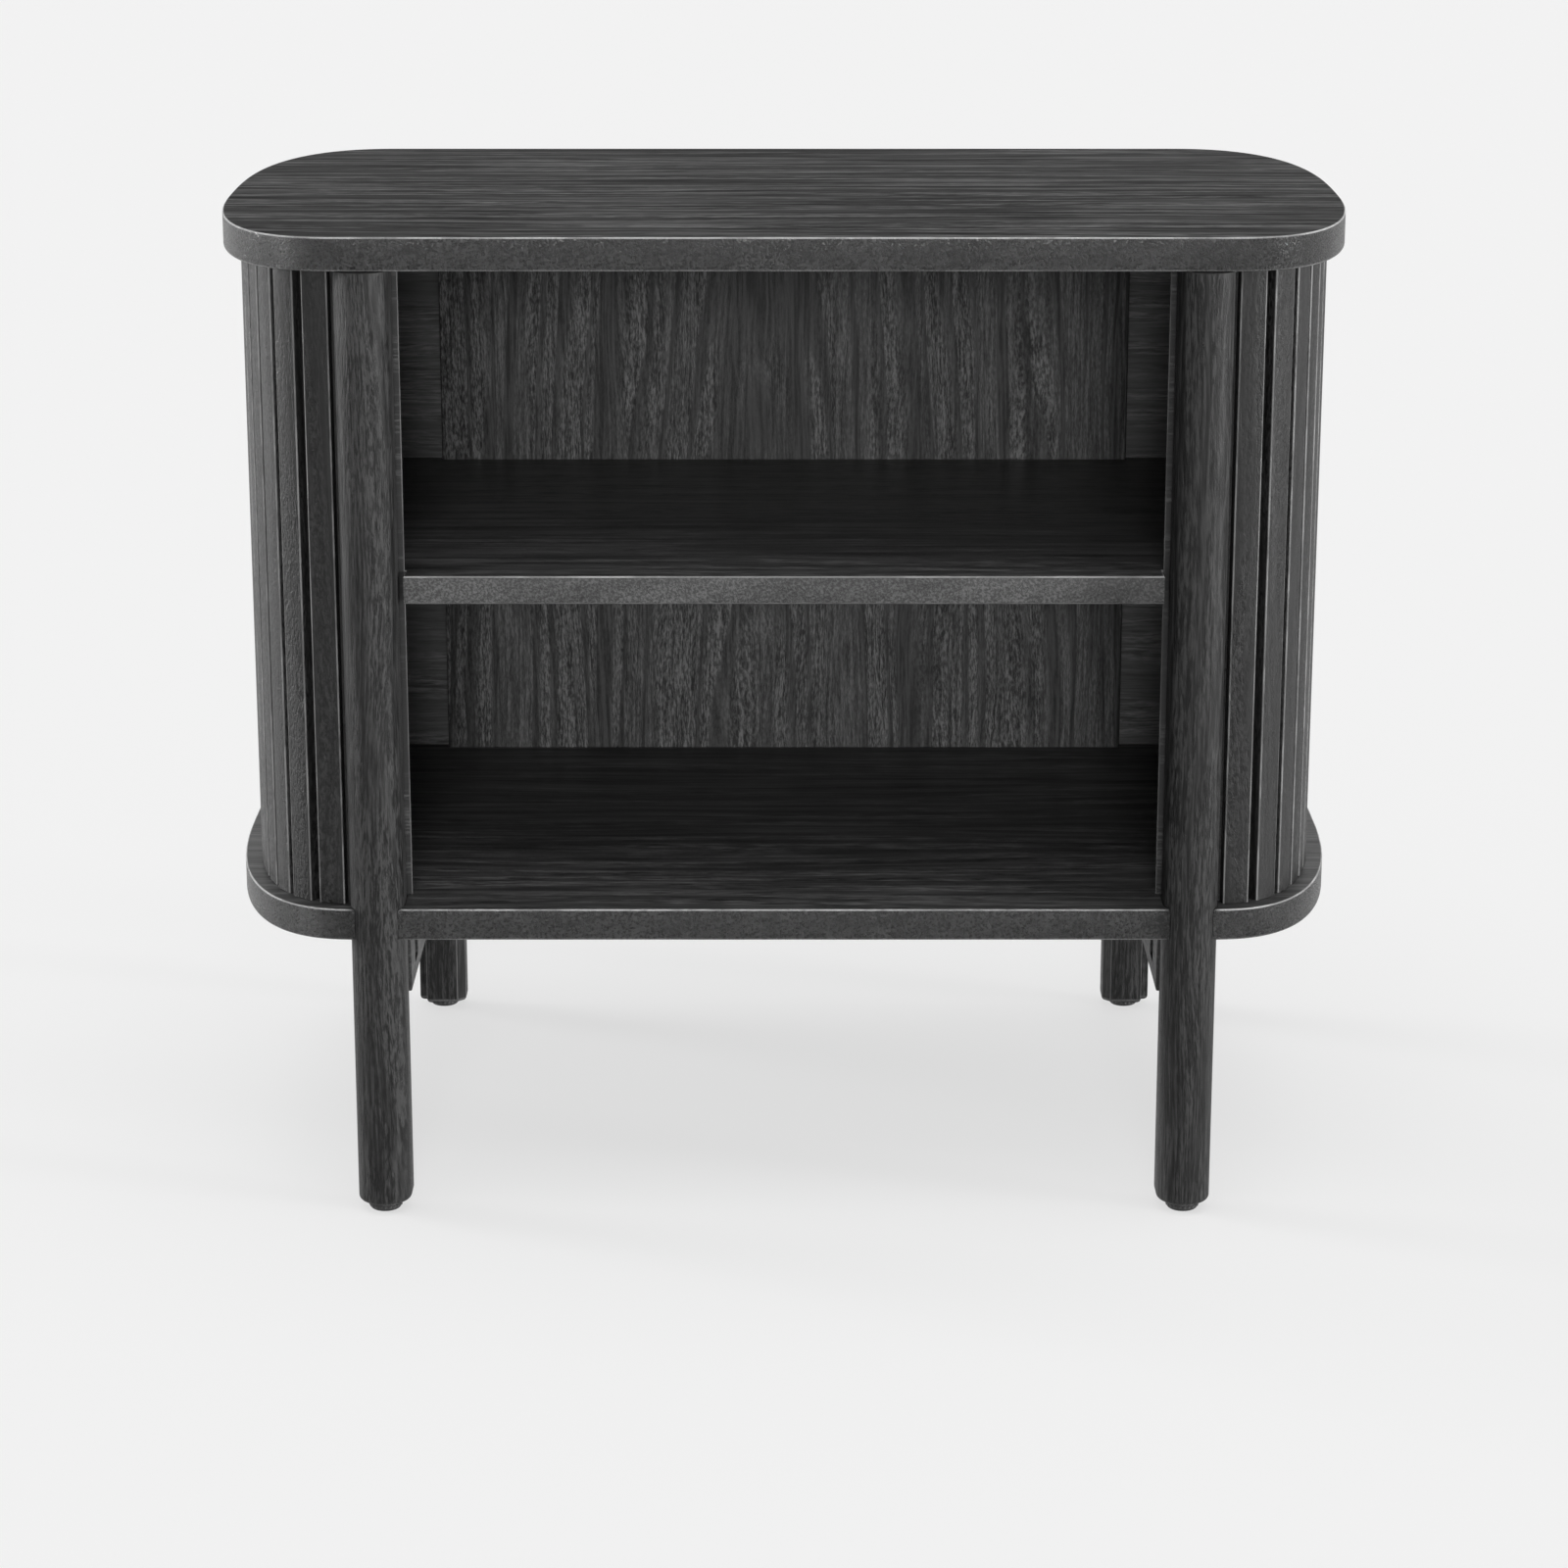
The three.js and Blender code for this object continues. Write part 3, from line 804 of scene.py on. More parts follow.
@dataclass(frozen=True)
class Dowel:
    """Plain beech with fine flecks."""

    name: str = "beech"
    dark: Point3 = (0.33, 0.19, 0.09)
    plain: Point3 = (0.50, 0.32, 0.17)
    light: Point3 = (0.60, 0.41, 0.24)
    fleck_scale: Point3 = (900.0, 900.0, 120.0)
    band_scale: Point3 = (180.0, 180.0, 12.0)
    flecks: float = 0.45
    roughness: Point = (0.55, 0.72)
    relief: float = 0.08

    def build(self) -> Material:
        """Makes the material.

        Returns:
            The material.
        """
        g = Graph(self.name)
        fleck = g.noise(g.place, self.fleck_scale)
        band = g.noise(g.place, self.band_scale, 4)
        value = g.plus(g.math("MULTIPLY", fleck, self.flecks), band, 1 - self.flecks)
        g.bump(fleck, self.relief)
        return g.shade(g.ramp(value, (0.3, self.dark), (0.55, self.plain), (0.75, self.light)),
                       g.spread(fleck, *NOISE_RANGE, *self.roughness))


@dataclass(frozen=True)
class ZincSteel:
    """Bright zinc plating on a turned steel part, faintly clouded."""

    name: str = "zinc_steel"
    dark: Point3 = (0.40, 0.41, 0.42)
    light: Point3 = (0.58, 0.58, 0.57)
    cloud_scale: float = 420.0
    tool_scale: Point3 = (300.0, 300.0, 5200.0)
    roughness: Point = (0.28, 0.45)
    relief: float = 0.02

    def build(self) -> Material:
        """Makes the material.

        Returns:
            The material.
        """
        g = Graph(self.name)
        cloud = g.noise(g.place, self.cloud_scale, 4)
        g.bump(g.noise(g.place, self.tool_scale, 2), self.relief)
        return g.shade(g.ramp(cloud, (0.3, self.dark), (0.7, self.light)),
                       g.spread(cloud, *NOISE_RANGE, *self.roughness), metallic=1.0)


@dataclass(frozen=True)
class MouldedPlastic:
    """Black moulded plastic with a fine spark-eroded texture."""

    name: str = "moulded_plastic"
    tones: Point = (0.0096, 0.018)
    speck_scale: float = 3200.0
    cloud_scale: float = 130.0
    roughness: Point = (0.42, 0.58)
    specular: float = 0.4
    relief: float = 0.03

    def build(self) -> Material:
        """Makes the material.

        Returns:
            The material.
        """
        g = Graph(self.name)
        speck = g.noise(g.place, self.speck_scale, 2)
        cloud = g.noise(g.place, self.cloud_scale)
        dark, light = self.tones
        g.bump(speck, self.relief)
        return g.shade(g.ramp(cloud, (0.3, grey(dark)), (0.7, grey(light))),
                       g.spread(speck, *NOISE_RANGE, *self.roughness), self.specular)


def dress(piece: Piece, material: Material) -> None:
    """Gives a piece or a CAD node one material, in place of those it has.

    Args:
        piece: The piece or node.
        material: Its new material.
    """
    if not piece.material_slots:
        piece.data.materials.append(material)
    for slot in piece.material_slots:
        slot.material = material


def finished(piece: Piece, material: Material, node: str, body: str = CABINET) -> Piece:
    """Dresses a piece, sets it on its body and says what it stands for.

    Args:
        piece: The piece.
        material: Its material.
        node: The CAD node that it stands for.
        body: The body that it rides on.

    Returns:
        The same piece.
    """
    piece.data.materials.clear()
    dress(piece, material)
    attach(piece, body)
    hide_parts(node)
    log.info("%s: %d faces on %s, for %s", piece.name, len(piece.data.polygons), body, node)
    return piece


def keep_nodes(prefixes: tuple[str, ...], material: Material) -> None:
    """Gives the CAD nodes that stay a finish.

    Args:
        prefixes: What the nodes' names start with.
        material: Their material.
    """
    kept = [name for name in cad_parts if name.startswith(prefixes)]
    for name in kept:
        dress(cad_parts[name], material)
    log.info("%s kept in %s", ", ".join(kept), material.name)


# The cabinet


@dataclass
class Plan:
    """The boards' outline: straight front and back, round ends."""

    width: float = 600.0
    depth: float = 360.0
    end_run: float = 76.0
    power: float = 2.57
    steps: int = 72

    @property
    def half_depth(self) -> float:
        """Half of the depth."""
        return self.depth / 2

    @property
    def end_start(self) -> float:
        """Where the round ends start, from the middle."""
        return self.width / 2 - self.end_run

    def right_half(self, inset: float = 0.0) -> list[Point]:
        """The outline's right half, moved in, from the front middle to the rear middle.

        Args:
            inset: How far it is moved in.

        Returns:
            The outline's corners.
        """
        run, half, power = self.end_run, self.half_depth, self.power
        points = [(0.0, inset - half)]
        for i in range(self.steps + 1):
            angle = (i / self.steps - 0.5) * math.pi
            c, s = max(0.0, math.cos(angle)), math.sin(angle)
            u = run * c ** (2 / power)
            v = math.copysign(half * abs(s) ** (2 / power), s)
            across = (u / run) ** (power - 1) / run
            deep = math.copysign((abs(v) / half) ** (power - 1), v) / half
            normal = Vector((across, deep)).normalized()
            points.append((self.end_start + u - inset * normal.x, v - inset * normal.y))
        return [*points, (0.0, half - inset)]

    def whole(self) -> list[Point]:
        """The closed outline."""
        right = self.right_half()[1:-1]
        return right + [(-x, y) for x, y in reversed(right)]

    def wall_line(self, inset: float, front_x: float, rear_x: float) -> list[Point]:
        """The part of the right half past a distance from the middle.

        Args:
            inset: How far the line is moved in.
            front_x: Where it starts at the front.
            rear_x: Where it ends at the rear.

        Returns:
            The line's points from front to rear.
        """
        line = self.right_half(inset)
        first = next(i for i, p in enumerate(line) if p[0] > front_x)
        last = max(i for i, p in enumerate(line) if p[0] > rear_x)

        def crossing(a: Point, b: Point, x: float) -> Point:
            """The point between two others that lies at a distance from the middle."""
            share = (x - a[0]) / (b[0] - a[0])
            return (x, a[1] + (b[1] - a[1]) * share)

        start = crossing(line[first - 1], line[first], front_x)
        end = crossing(line[last], line[last + 1], rear_x)
        return [start, *line[first:last + 1], end]

    def line_x(self, inset: float, y: float) -> float:
        """How far from the middle the outline lies at a place along the depth.

        Args:
            inset: How far the outline is moved in.
            y: The place.

        Returns:
            The distance.
        """
        line = self.right_half(inset)
        after = next(i for i in range(1, len(line)) if line[i][1] > y)
        a, b = line[after - 1], line[after]
        return a[0] + (b[0] - a[0]) * (y - a[1]) / (b[1] - a[1])


@dataclass
class Sizes:
    """Sizes that several sub-assemblies share. A hole is a fit gap wider than what goes in."""

    plan: Plan = field(default_factory=Plan)
    top: Point = (508.5, 526.0)
    bottom: Point = (154.0, 171.0)
    shelf: Point = (332.5, 347.5)
    leg_radius: float = 14.25
    front_leg_x: float = 215.0
    rear_leg_x: float = 210.0
    leg_y: float = 171.05
    leg_back_y: float = 154.05
    leg_dowel_set_in: float = 6.0
    panel_y: Point = (145.5, 150.7)
    panel_half: float = 202.0
    groove_depth: float = 4.5
    wall_dowel_inset: float = 20.65
    fixing_x: float = 208.5
    screw_y: float = 70.725
    bolt_z: float = 134.25
    screw_hole: float = 2.3
    stem_hole: float = 3.3
    dowel_hole: float = 4.3
    bolt_sleeve_hole: float = 4.8
    glide_sleeve_hole: float = 5.3

    def corners(self) -> list["Corner"]:
        """The four corners."""
        return [Corner(end, side, self) for end in End for side in Side]


@dataclass
class Corner:
    """One of the four corners, where a leg stands."""

    end: End
    side: Side
    sizes: Sizes

    @property
    def word(self) -> str:
        """The corner's name in the names of nodes."""
        return f"{self.end.word}_{self.side.word}"

    @property
    def centre(self) -> Point:
        """The centre of the leg's round part."""
        x = self.sizes.front_leg_x if self.end is End.FRONT else self.sizes.rear_leg_x
        return self.side.value * x, self.end.value * self.sizes.leg_y

    @property
    def dowel(self) -> Point:
        """Where the dowel between the leg and the top board stands."""
        x, y = self.centre
        return x, y - self.sizes.leg_dowel_set_in * self.end.value

    @property
    def turn(self) -> Matrix:
        """The change from the right rear corner's way round to this one's."""
        return Matrix.Diagonal((self.side.value, self.end.value, 1, 1))


@dataclass
class BoardFinishes:
    """The materials of the three boards and of their edges."""

    top: Material
    bottom: Material
    shelf: Material
    edging: Material
    shelf_edging: Material


@dataclass
class Boards:
    """Top board, bottom board and middle shelf."""

    sizes: Sizes
    ease_width: float = 1.0
    ease_steps: int = 4
    straight_step: float = 8.0
    notch_steps: int = 32
    shelf_setback: float = 15.0
    shelf_inset: float = 29.3
    shelf_tab_half: float = 197.75
    shelf_dowel_y: float = 61.2
    shelf_dowel_inset: float = 29.0
    shelf_dowel_depth: float = 14.3
    wall_dowel_hole: float = 3.3
    dowel_depth: float = 10.3
    screw_tip: float = 164.3
    edge_facing: float = 0.9

    def dense(self, outline: Sequence[Point]) -> list[Point]:
        """An outline with more points on its straight runs, so that its edge wear and painted
        highlight survive cuts.

        Args:
            outline: The outline.

        Returns:
            The outline with its new points.
        """
        points = []
        for (x0, y0), (x1, y1) in zip(outline, [*outline[1:], outline[0]]):
            parts = max(1, round(math.hypot(x1 - x0, y1 - y0) / self.straight_step))
            points += [(x0 + (x1 - x0) * i / parts, y0 + (y1 - y0) * i / parts)
                       for i in range(parts)]
        return points

    def eased_plate(self, name: str, outline: Sequence[Point], heights: Point) -> Piece:
        """A board with its upper and lower edges rounded.

        Args:
            name: The piece's name.
            outline: Its outline.
            heights: Its underside and upper side.

        Returns:
            The board.
        """
        board = plate(name, self.dense(outline), *heights)
        low, high = at_height(heights[0]), at_height(heights[1])
        ease(board, self.ease_width, self.ease_steps, lambda edge: low(edge) or high(edge))
        return board

    def groove(self, low: float, high: float) -> Piece:
        """The tool that makes room for the back panel's edge."""
        half, (front, rear) = self.sizes.panel_half + FIT_GAP, self.sizes.panel_y
        return block("groove", (-half, front - FIT_GAP, low), (half, rear + FIT_GAP, high))

    def wall_dowel_bores(self, z: float) -> list[Piece]:
        """The tools for the dowels between a board and the walls.

        Args:
            z: The height where they meet.

        Returns:
            The tools.
        """
        plan, bores = self.sizes.plan, []
        for corner in self.sizes.corners():
            y = corner.end.value * plan.half_depth / 2
            x = corner.side.value * plan.line_x(self.sizes.wall_dowel_inset, y)
            low, high = z - self.dowel_depth, z + self.dowel_depth
            bores.append(upright_bore(self.wall_dowel_hole, (x, y), low, high))
        return bores

    def top_board(self) -> Piece:
        """The top board, grooved and drilled from below.

        Returns:
            The board.
        """
        s = self.sizes
        under = s.top[0]
        board = self.eased_plate("oak_top_board", s.plan.whole(), s.top)
        bores = [upright_bore(s.dowel_hole, corner.dowel, under - OVERRUN, under + self.dowel_depth)
                 for corner in s.corners()]
        groove = self.groove(under - OVERRUN, under + s.groove_depth + FIT_GAP)
        cut(board, groove, *bores, *self.wall_dowel_bores(under))
        return board

    def notch(self, corner: Corner, low: float, high: float) -> Piece:
        """The tool that makes room for a leg: round outside like the leg, square behind.

        Args:
            corner: Where the leg stands.
            low: The tool's lower end.
            high: The tool's upper end.

        Returns:
            The tool.
        """
        (x, y), end = corner.centre, corner.end.value
        reach = self.sizes.leg_radius + FIT_GAP
        back = end * (self.sizes.leg_back_y - FIT_GAP)
        angles = [math.pi * i / self.notch_steps for i in range(self.notch_steps + 1)]
        arc = [(x + reach * math.cos(a), y + end * reach * math.sin(a)) for a in angles]
        return plate("notch", [*arc, (x - reach, back), (x + reach, back)], low, high)

    def bottom_board(self) -> Piece:
        """The bottom board, notched round the legs and grooved for the back panel.

        Returns:
            The board.
        """
        s = self.sizes
        board = self.eased_plate("oak_bottom_board", s.plan.whole(), s.bottom)
        low, high = s.bottom[0] - OVERRUN, s.bottom[1] + OVERRUN
        tools = []
        for corner in s.corners():
            tools.append(self.notch(corner, low, high))
            screw = corner.side.value * s.fixing_x, corner.end.value * s.screw_y
            tools.append(upright_bore(s.screw_hole, screw, low, self.screw_tip))
        groove = self.groove(s.bottom[1] - s.groove_depth - FIT_GAP, high)
        cut(board, *tools, groove, *self.wall_dowel_bores(s.bottom[1]))
        return board

    def middle_shelf(self) -> Piece:
        """The shelf, which fits between the front legs and widens behind them.

        Returns:
            The shelf.
        """
        s = self.sizes
        half_depth, inset = s.plan.half_depth, self.shelf_inset
        panel_edge = s.panel_half + FIT_GAP
        right = [
            (self.shelf_tab_half, self.shelf_setback - half_depth),
            (self.shelf_tab_half, inset - half_depth),
            *s.plan.right_half(inset)[1:-1],
            (panel_edge, half_depth - inset),
            (panel_edge, s.panel_y[0] - FIT_GAP),
        ]
        outline = right + [(-x, y) for x, y in reversed(right)]
        shelf = self.eased_plate("oak_middle_shelf", outline, s.shelf)
        z = sum(s.shelf) / 2
        for corner in s.corners():
            side, y = corner.side.value, corner.end.value * self.shelf_dowel_y
            x = s.plan.line_x(self.shelf_dowel_inset, y)
            start = (side * (x - self.shelf_dowel_depth), y, z)
            cut(shelf, bore(s.dowel_hole, start, (side * (x + OVERRUN), y, z)))
        return shelf

    def make(self, finishes: BoardFinishes) -> None:
        """Builds and dresses the boards. Faces more upright than flat are edges.

        Args:
            finishes: Their finishes.
        """
        boards = (
            (self.top_board(), finishes.top, finishes.edging, "top_board"),
            (self.bottom_board(), finishes.bottom, finishes.edging, "bottom_board"),
            (self.middle_shelf(), finishes.shelf, finishes.shelf_edging, "middle_shelf"),
        )
        for board, oak, edging, node in boards:
            smooth(board)
            finished(board, oak, node).data.materials.append(edging)
            for face in board.data.polygons:
                face.material_index = int(abs(face.normal.z) < self.edge_facing)


@dataclass
class Walls:
    """The two round ends: slats outside, a bent core and a lining inside."""

    sizes: Sizes
    slat_inset: float = 9.0
    slat_thickness: float = 6.0
    backing: float = 1.0
    slat_width: float = 14.1
    slat_pitch: float = 16.5
    slat_arris: float = 0.9
    slat_steps: int = 3
    lining_insets: Point = (26.3, 29.0)
    lining_ends: Point = (198.05, 196.05)
    lining_arris: float = 0.5
    lining_turn: float = 60.0
    sharp_edge: float = 40.0
    tone_spread: float = 0.20
    # Painted shade on the backing that shows in the grooves between slats.
    backing_tone: float = -0.35
    # Painted shade on the lining's front end face, in the gap by the leg.
    gap_shade_tone: float = -0.48
    forward_facing: float = -0.7
    seed: int = 7

    @property
    def heights(self) -> Point:
        """The walls' lower and upper ends."""
        return self.sizes.bottom[1] + FIT_GAP, self.sizes.top[0] - FIT_GAP

    @property
    def slat_ends(self) -> Point:
        """How far from the middle the slats start at the front and end at the rear."""
        clear = self.sizes.leg_radius + FIT_GAP
        return self.sizes.front_leg_x + clear, self.sizes.rear_leg_x + clear

    def strip(self, name: str, insets: Point, ends: Point) -> Piece:
        """A layer of the right wall, between two insets and two distances from the middle."""
        outer, inner = (self.sizes.plan.wall_line(inset, *ends) for inset in insets)
        return plate(name, outer + inner[::-1], *self.heights)

    def lining(self) -> Piece:
        """The right wall's lining, its upright edges rounded and its front end face darkened as
        painted shade in the gap by the leg.

        Returns:
            The lining.
        """
        skin = self.strip("lining", self.lining_insets, self.lining_ends)
        ease(skin, self.lining_arris, ARRIS_STEPS, turns_corner(self.lining_turn))
        smooth(skin, self.sharp_edge)
        # Painted shade on the front end face, beside the leg.
        tint(skin, self.gap_shade_tone,
             lambda face: face.normal.y < self.forward_facing and face.center.y < 0)
        return skin

    def slat(self) -> Piece:
        """One slat at the origin, its outer edges rounded. It faces -Y.

        Returns:
            The slat.
        """
        (low, high), half = self.heights, self.slat_width / 2
        upright, middle = runs_along(2), -self.slat_thickness * MM / 2
        slat = block("slat", (-half, -self.slat_thickness, low), (half, -self.backing / 2, high))
        ease(slat, self.slat_arris, self.slat_steps,
             lambda edge: upright(edge) and edge.verts[0].co.y < middle)
        smooth(slat, self.sharp_edge)
        return slat

    def slat_places(self) -> list[Matrix]:
        """Where the slats of the right wall stand.

        Returns:
            Each slat's change from the origin, front to rear.
        """
        inset = self.slat_inset + self.slat_thickness
        line = [Vector(point) for point in self.sizes.plan.wall_line(inset, *self.slat_ends)]
        runs = [(b - a).length for a, b in zip(line, line[1:])]
        count = round(sum(runs) / self.slat_pitch)
        places = []
        for k in range(count):
            left = sum(runs) * (k + 0.5) / count
            i = 0
            while i < len(runs) - 1 and left > runs[i]:
                left -= runs[i]
                i += 1
            along = (line[i + 1] - line[i]).normalized()
            spot = line[i] + along * left
            turn = Matrix.Rotation(math.atan2(along.y, along.x), 4, "Z")
            places.append(moved(spot.x, spot.y) @ turn)
        return places

    def slatted_face(self) -> Piece:
        """The right wall's slats on their backing, each with a tone of its own; the backing is
        darkened as painted shade in the grooves.

        Returns:
            The slatted face.
        """
        face = self.slat_inset + self.slat_thickness
        backing = self.strip("backing", (face - self.backing, face), self.slat_ends)
        smooth(backing, self.sharp_edge)
        # Painted shade: the backing darkened where it shows between the slats.
        tint(backing, self.backing_tone)
        draw = random.Random(self.seed)
        slat, parts = self.slat(), [backing]
        for place in self.slat_places():
            parts.append(copied(slat, "slat_copy", place))
            tint(parts[-1], draw.uniform(-self.tone_spread, self.tone_spread))
        discard(slat)
        return joined(parts, "slatted_face")

    def make(self, slat_oak: Material, lining_oak: Material, core: Material) -> None:
        """Builds both walls and dresses them.

        Args:
            slat_oak: The slats' finish.
            lining_oak: The lining's finish.
            core: The bent core's finish.
        """
        lining, slats = self.lining(), self.slatted_face()
        for side in Side:
            skin = copied(lining, f"wall_lining_{side.word}", side.turn)
            finished(skin, lining_oak, f"wall_liner_{side.word}")
            face = copied(slats, f"slatted_face_{side.word}", side.turn)
            finished(face, slat_oak, f"wall_slats_{side.word}")
        discard(lining, slats)
        keep_nodes(("wall_core_",), core)


@dataclass
class BackPanel:
    """The upright-grained panel, let into the top and bottom boards."""

    sizes: Sizes
    arris: float = 0.7
    # Painted shadow: how dark the panel's upright edges are made, for the gaps beside them.
    gap_shade_tone: float = -0.4
    sideways_facing: float = 0.2

    def make(self, oak: Material) -> None:
        """Builds and dresses the panel. Its upright edges are darkened as a painted shadow of the
        gaps beside them.

        Args:
            oak: The panel's finish.
        """
        s = self.sizes
        (front, rear), half = s.panel_y, s.panel_half
        low, high = s.bottom[1] - s.groove_depth, s.top[0] + s.groove_depth
        panel = block("back_panel_oak", (-half, front, low), (half, rear, high))
        ease(panel, self.arris, ARRIS_STEPS, runs_along(2))
        smooth(panel)
        panel.data.attributes.remove(panel.data.attributes["arris"])
        # Painted shadow in the gaps at the panel's upright edges.
        tint(panel, self.gap_shade_tone, lambda face: abs(face.normal.x) > self.sideways_facing)
        finished(panel, oak, "back_panel")


@dataclass
class Legs:
    """Four legs: round outside, flat at the inner side, rebated for the walls."""

    sizes: Sizes
    low: float = 5.5
    high: float = 508.2
    end_rounding: float = 2.6
    end_steps: int = 5
    rebate_width: float = 4.7
    rebate_depth: float = 7.0
    chamfer: float = 5.0
    round_steps: int = 32
    arris: float = 0.5
    sharp_corner: float = 30.0
    sleeve_top: float = 20.1
    stem_top: float = 27.5
    bolt_depth: float = 13.7
    dowel_low: float = 488.2
    sharp_edge: float = 35.0
    # Painted light on the legs' inner flats: lighter on the left legs, darker on the right.
    flat_light_and_shade: Point = (0.25, -0.15)
    sideways_facing: float = -0.995

    def section(self) -> list[Point]:
        """The section of the right rear leg, about the centre of its round part.

        Returns:
            The section's corners.
        """
        r = self.sizes.leg_radius
        flat = self.sizes.leg_y - self.sizes.leg_back_y
        angles = [math.pi * i / self.round_steps for i in range(self.round_steps + 1)]
        return [(r * math.cos(a), r * math.sin(a)) for a in angles] + [
            (-r, self.chamfer - flat),
            (self.chamfer - r, -flat),
            (r - self.rebate_width, -flat),
            (r - self.rebate_width, self.rebate_depth - flat),
            (r, self.rebate_depth - flat),
        ]

    def leg(self, corner: Corner) -> Piece:
        """One leg, in its place and with its holes. Its flat side is lighter on the left legs, as a
        painted highlight, and darker on the right ones, as painted shade.

        Args:
            corner: Where it stands.

        Returns:
            The leg.
        """
        leg = plate(f"oak_leg_{corner.word}", self.section(), self.low, self.high)
        ease(leg, self.arris, ARRIS_STEPS, turns_corner(self.sharp_corner))
        ease(leg, self.end_rounding, self.end_steps, at_height(self.low))
        carried(leg, moved(*corner.centre) @ corner.turn)
        self.drill(leg, corner)
        smooth(leg, self.sharp_edge)
        # Painted highlight on the left legs' flats, painted shade on the right legs' flats.
        side = corner.side
        tone = self.flat_light_and_shade[0] if side is Side.LEFT else self.flat_light_and_shade[1]
        tint(leg, tone, lambda face: face.normal.x * side.value < self.sideways_facing)
        return leg

    def drill(self, leg: Piece, corner: Corner) -> None:
        """Makes room for the glide, the rail's bolt and the top dowel.

        Args:
            leg: The leg.
            corner: Where it stands.
        """
        s, end = self.sizes, corner.end.value
        bolt_x = corner.side.value * s.fixing_x
        bolt = [(bolt_x, end * (s.leg_back_y + reach), s.bolt_z)
                for reach in (-OVERRUN, self.bolt_depth)]
        cut(
            leg,
            upright_bore(s.glide_sleeve_hole, corner.centre, self.low - OVERRUN, self.sleeve_top,
                         ROUND_SIDES),
            upright_bore(s.stem_hole, corner.centre, self.low, self.stem_top),
            bore(s.bolt_sleeve_hole, *bolt),
            upright_bore(s.dowel_hole, corner.dowel, self.dowel_low, self.high + OVERRUN),
        )

    def make(self, oak: Material) -> None:
        """Builds the legs and dresses them in the oak."""
        for corner in self.sizes.corners():
            finished(self.leg(corner), oak, f"leg_{corner.word}")


@dataclass
class Rails:
    """The rail under each side of the bottom board, with its bolt pockets."""

    sizes: Sizes
    inner_x: float = 199.5
    outer_x: float = 217.5
    half_length: float = 153.75
    heights: Point = (117.0, 153.7)
    arris: float = 1.0
    arris_steps: int = 3
    pocket_x: float = 213.8
    pocket_y: Point = (114.75, 131.75)
    pocket_z: Point = (125.5, 143.0)
    pocket_rounding: float = 2.0
    pocket_steps: int = 4
    bolt_start: float = 130.75
    screw_head_depth: float = 2.9
    sharp_edge: float = 35.0

    def pocket(self, end: End) -> Piece:
        """The tool for one pocket: a block with rounded corners.

        Args:
            end: Which end's pocket it is.

        Returns:
            The tool.
        """
        near, far = (end.value * y for y in self.pocket_y)
        tool = block("pocket", (self.inner_x - OVERRUN, near, self.pocket_z[0]),
                     (self.pocket_x, far, self.pocket_z[1]))
        ease(tool, self.pocket_rounding, self.pocket_steps, runs_along(0))
        return tool

    def rail(self) -> Piece:
        """The right rail, with its edges rounded, its pockets and its holes.

        Returns:
            The rail.
        """
        s, x, (low, high) = self.sizes, self.sizes.fixing_x, self.heights
        rail = block("rail", (self.inner_x, -self.half_length, low),
                     (self.outer_x, self.half_length, high))
        ease(rail, self.arris, self.arris_steps, runs_along(1))
        for end in End:
            bolt = [(x, end.value * y, s.bolt_z)
                    for y in (self.bolt_start, self.half_length + OVERRUN)]
            screw = (x, end.value * s.screw_y)
            cut(
                rail,
                self.pocket(end),
                bore(s.stem_hole, *bolt),
                upright_bore(s.screw_hole, screw, low - OVERRUN, high + OVERRUN),
                upright_bore(s.dowel_hole, screw, low - OVERRUN, low + self.screw_head_depth),
            )
        smooth(rail, self.sharp_edge)
        return rail

    def make(self, oak: Material) -> None:
        """Builds both rails and dresses them.

        Args:
            oak: Their finish.
        """
        rail = self.rail()
        for side in Side:
            one = copied(rail, f"oak_rail_{side.word}", side.turn)
            finished(one, oak, f"side_rail_{side.word}")
        discard(rail)


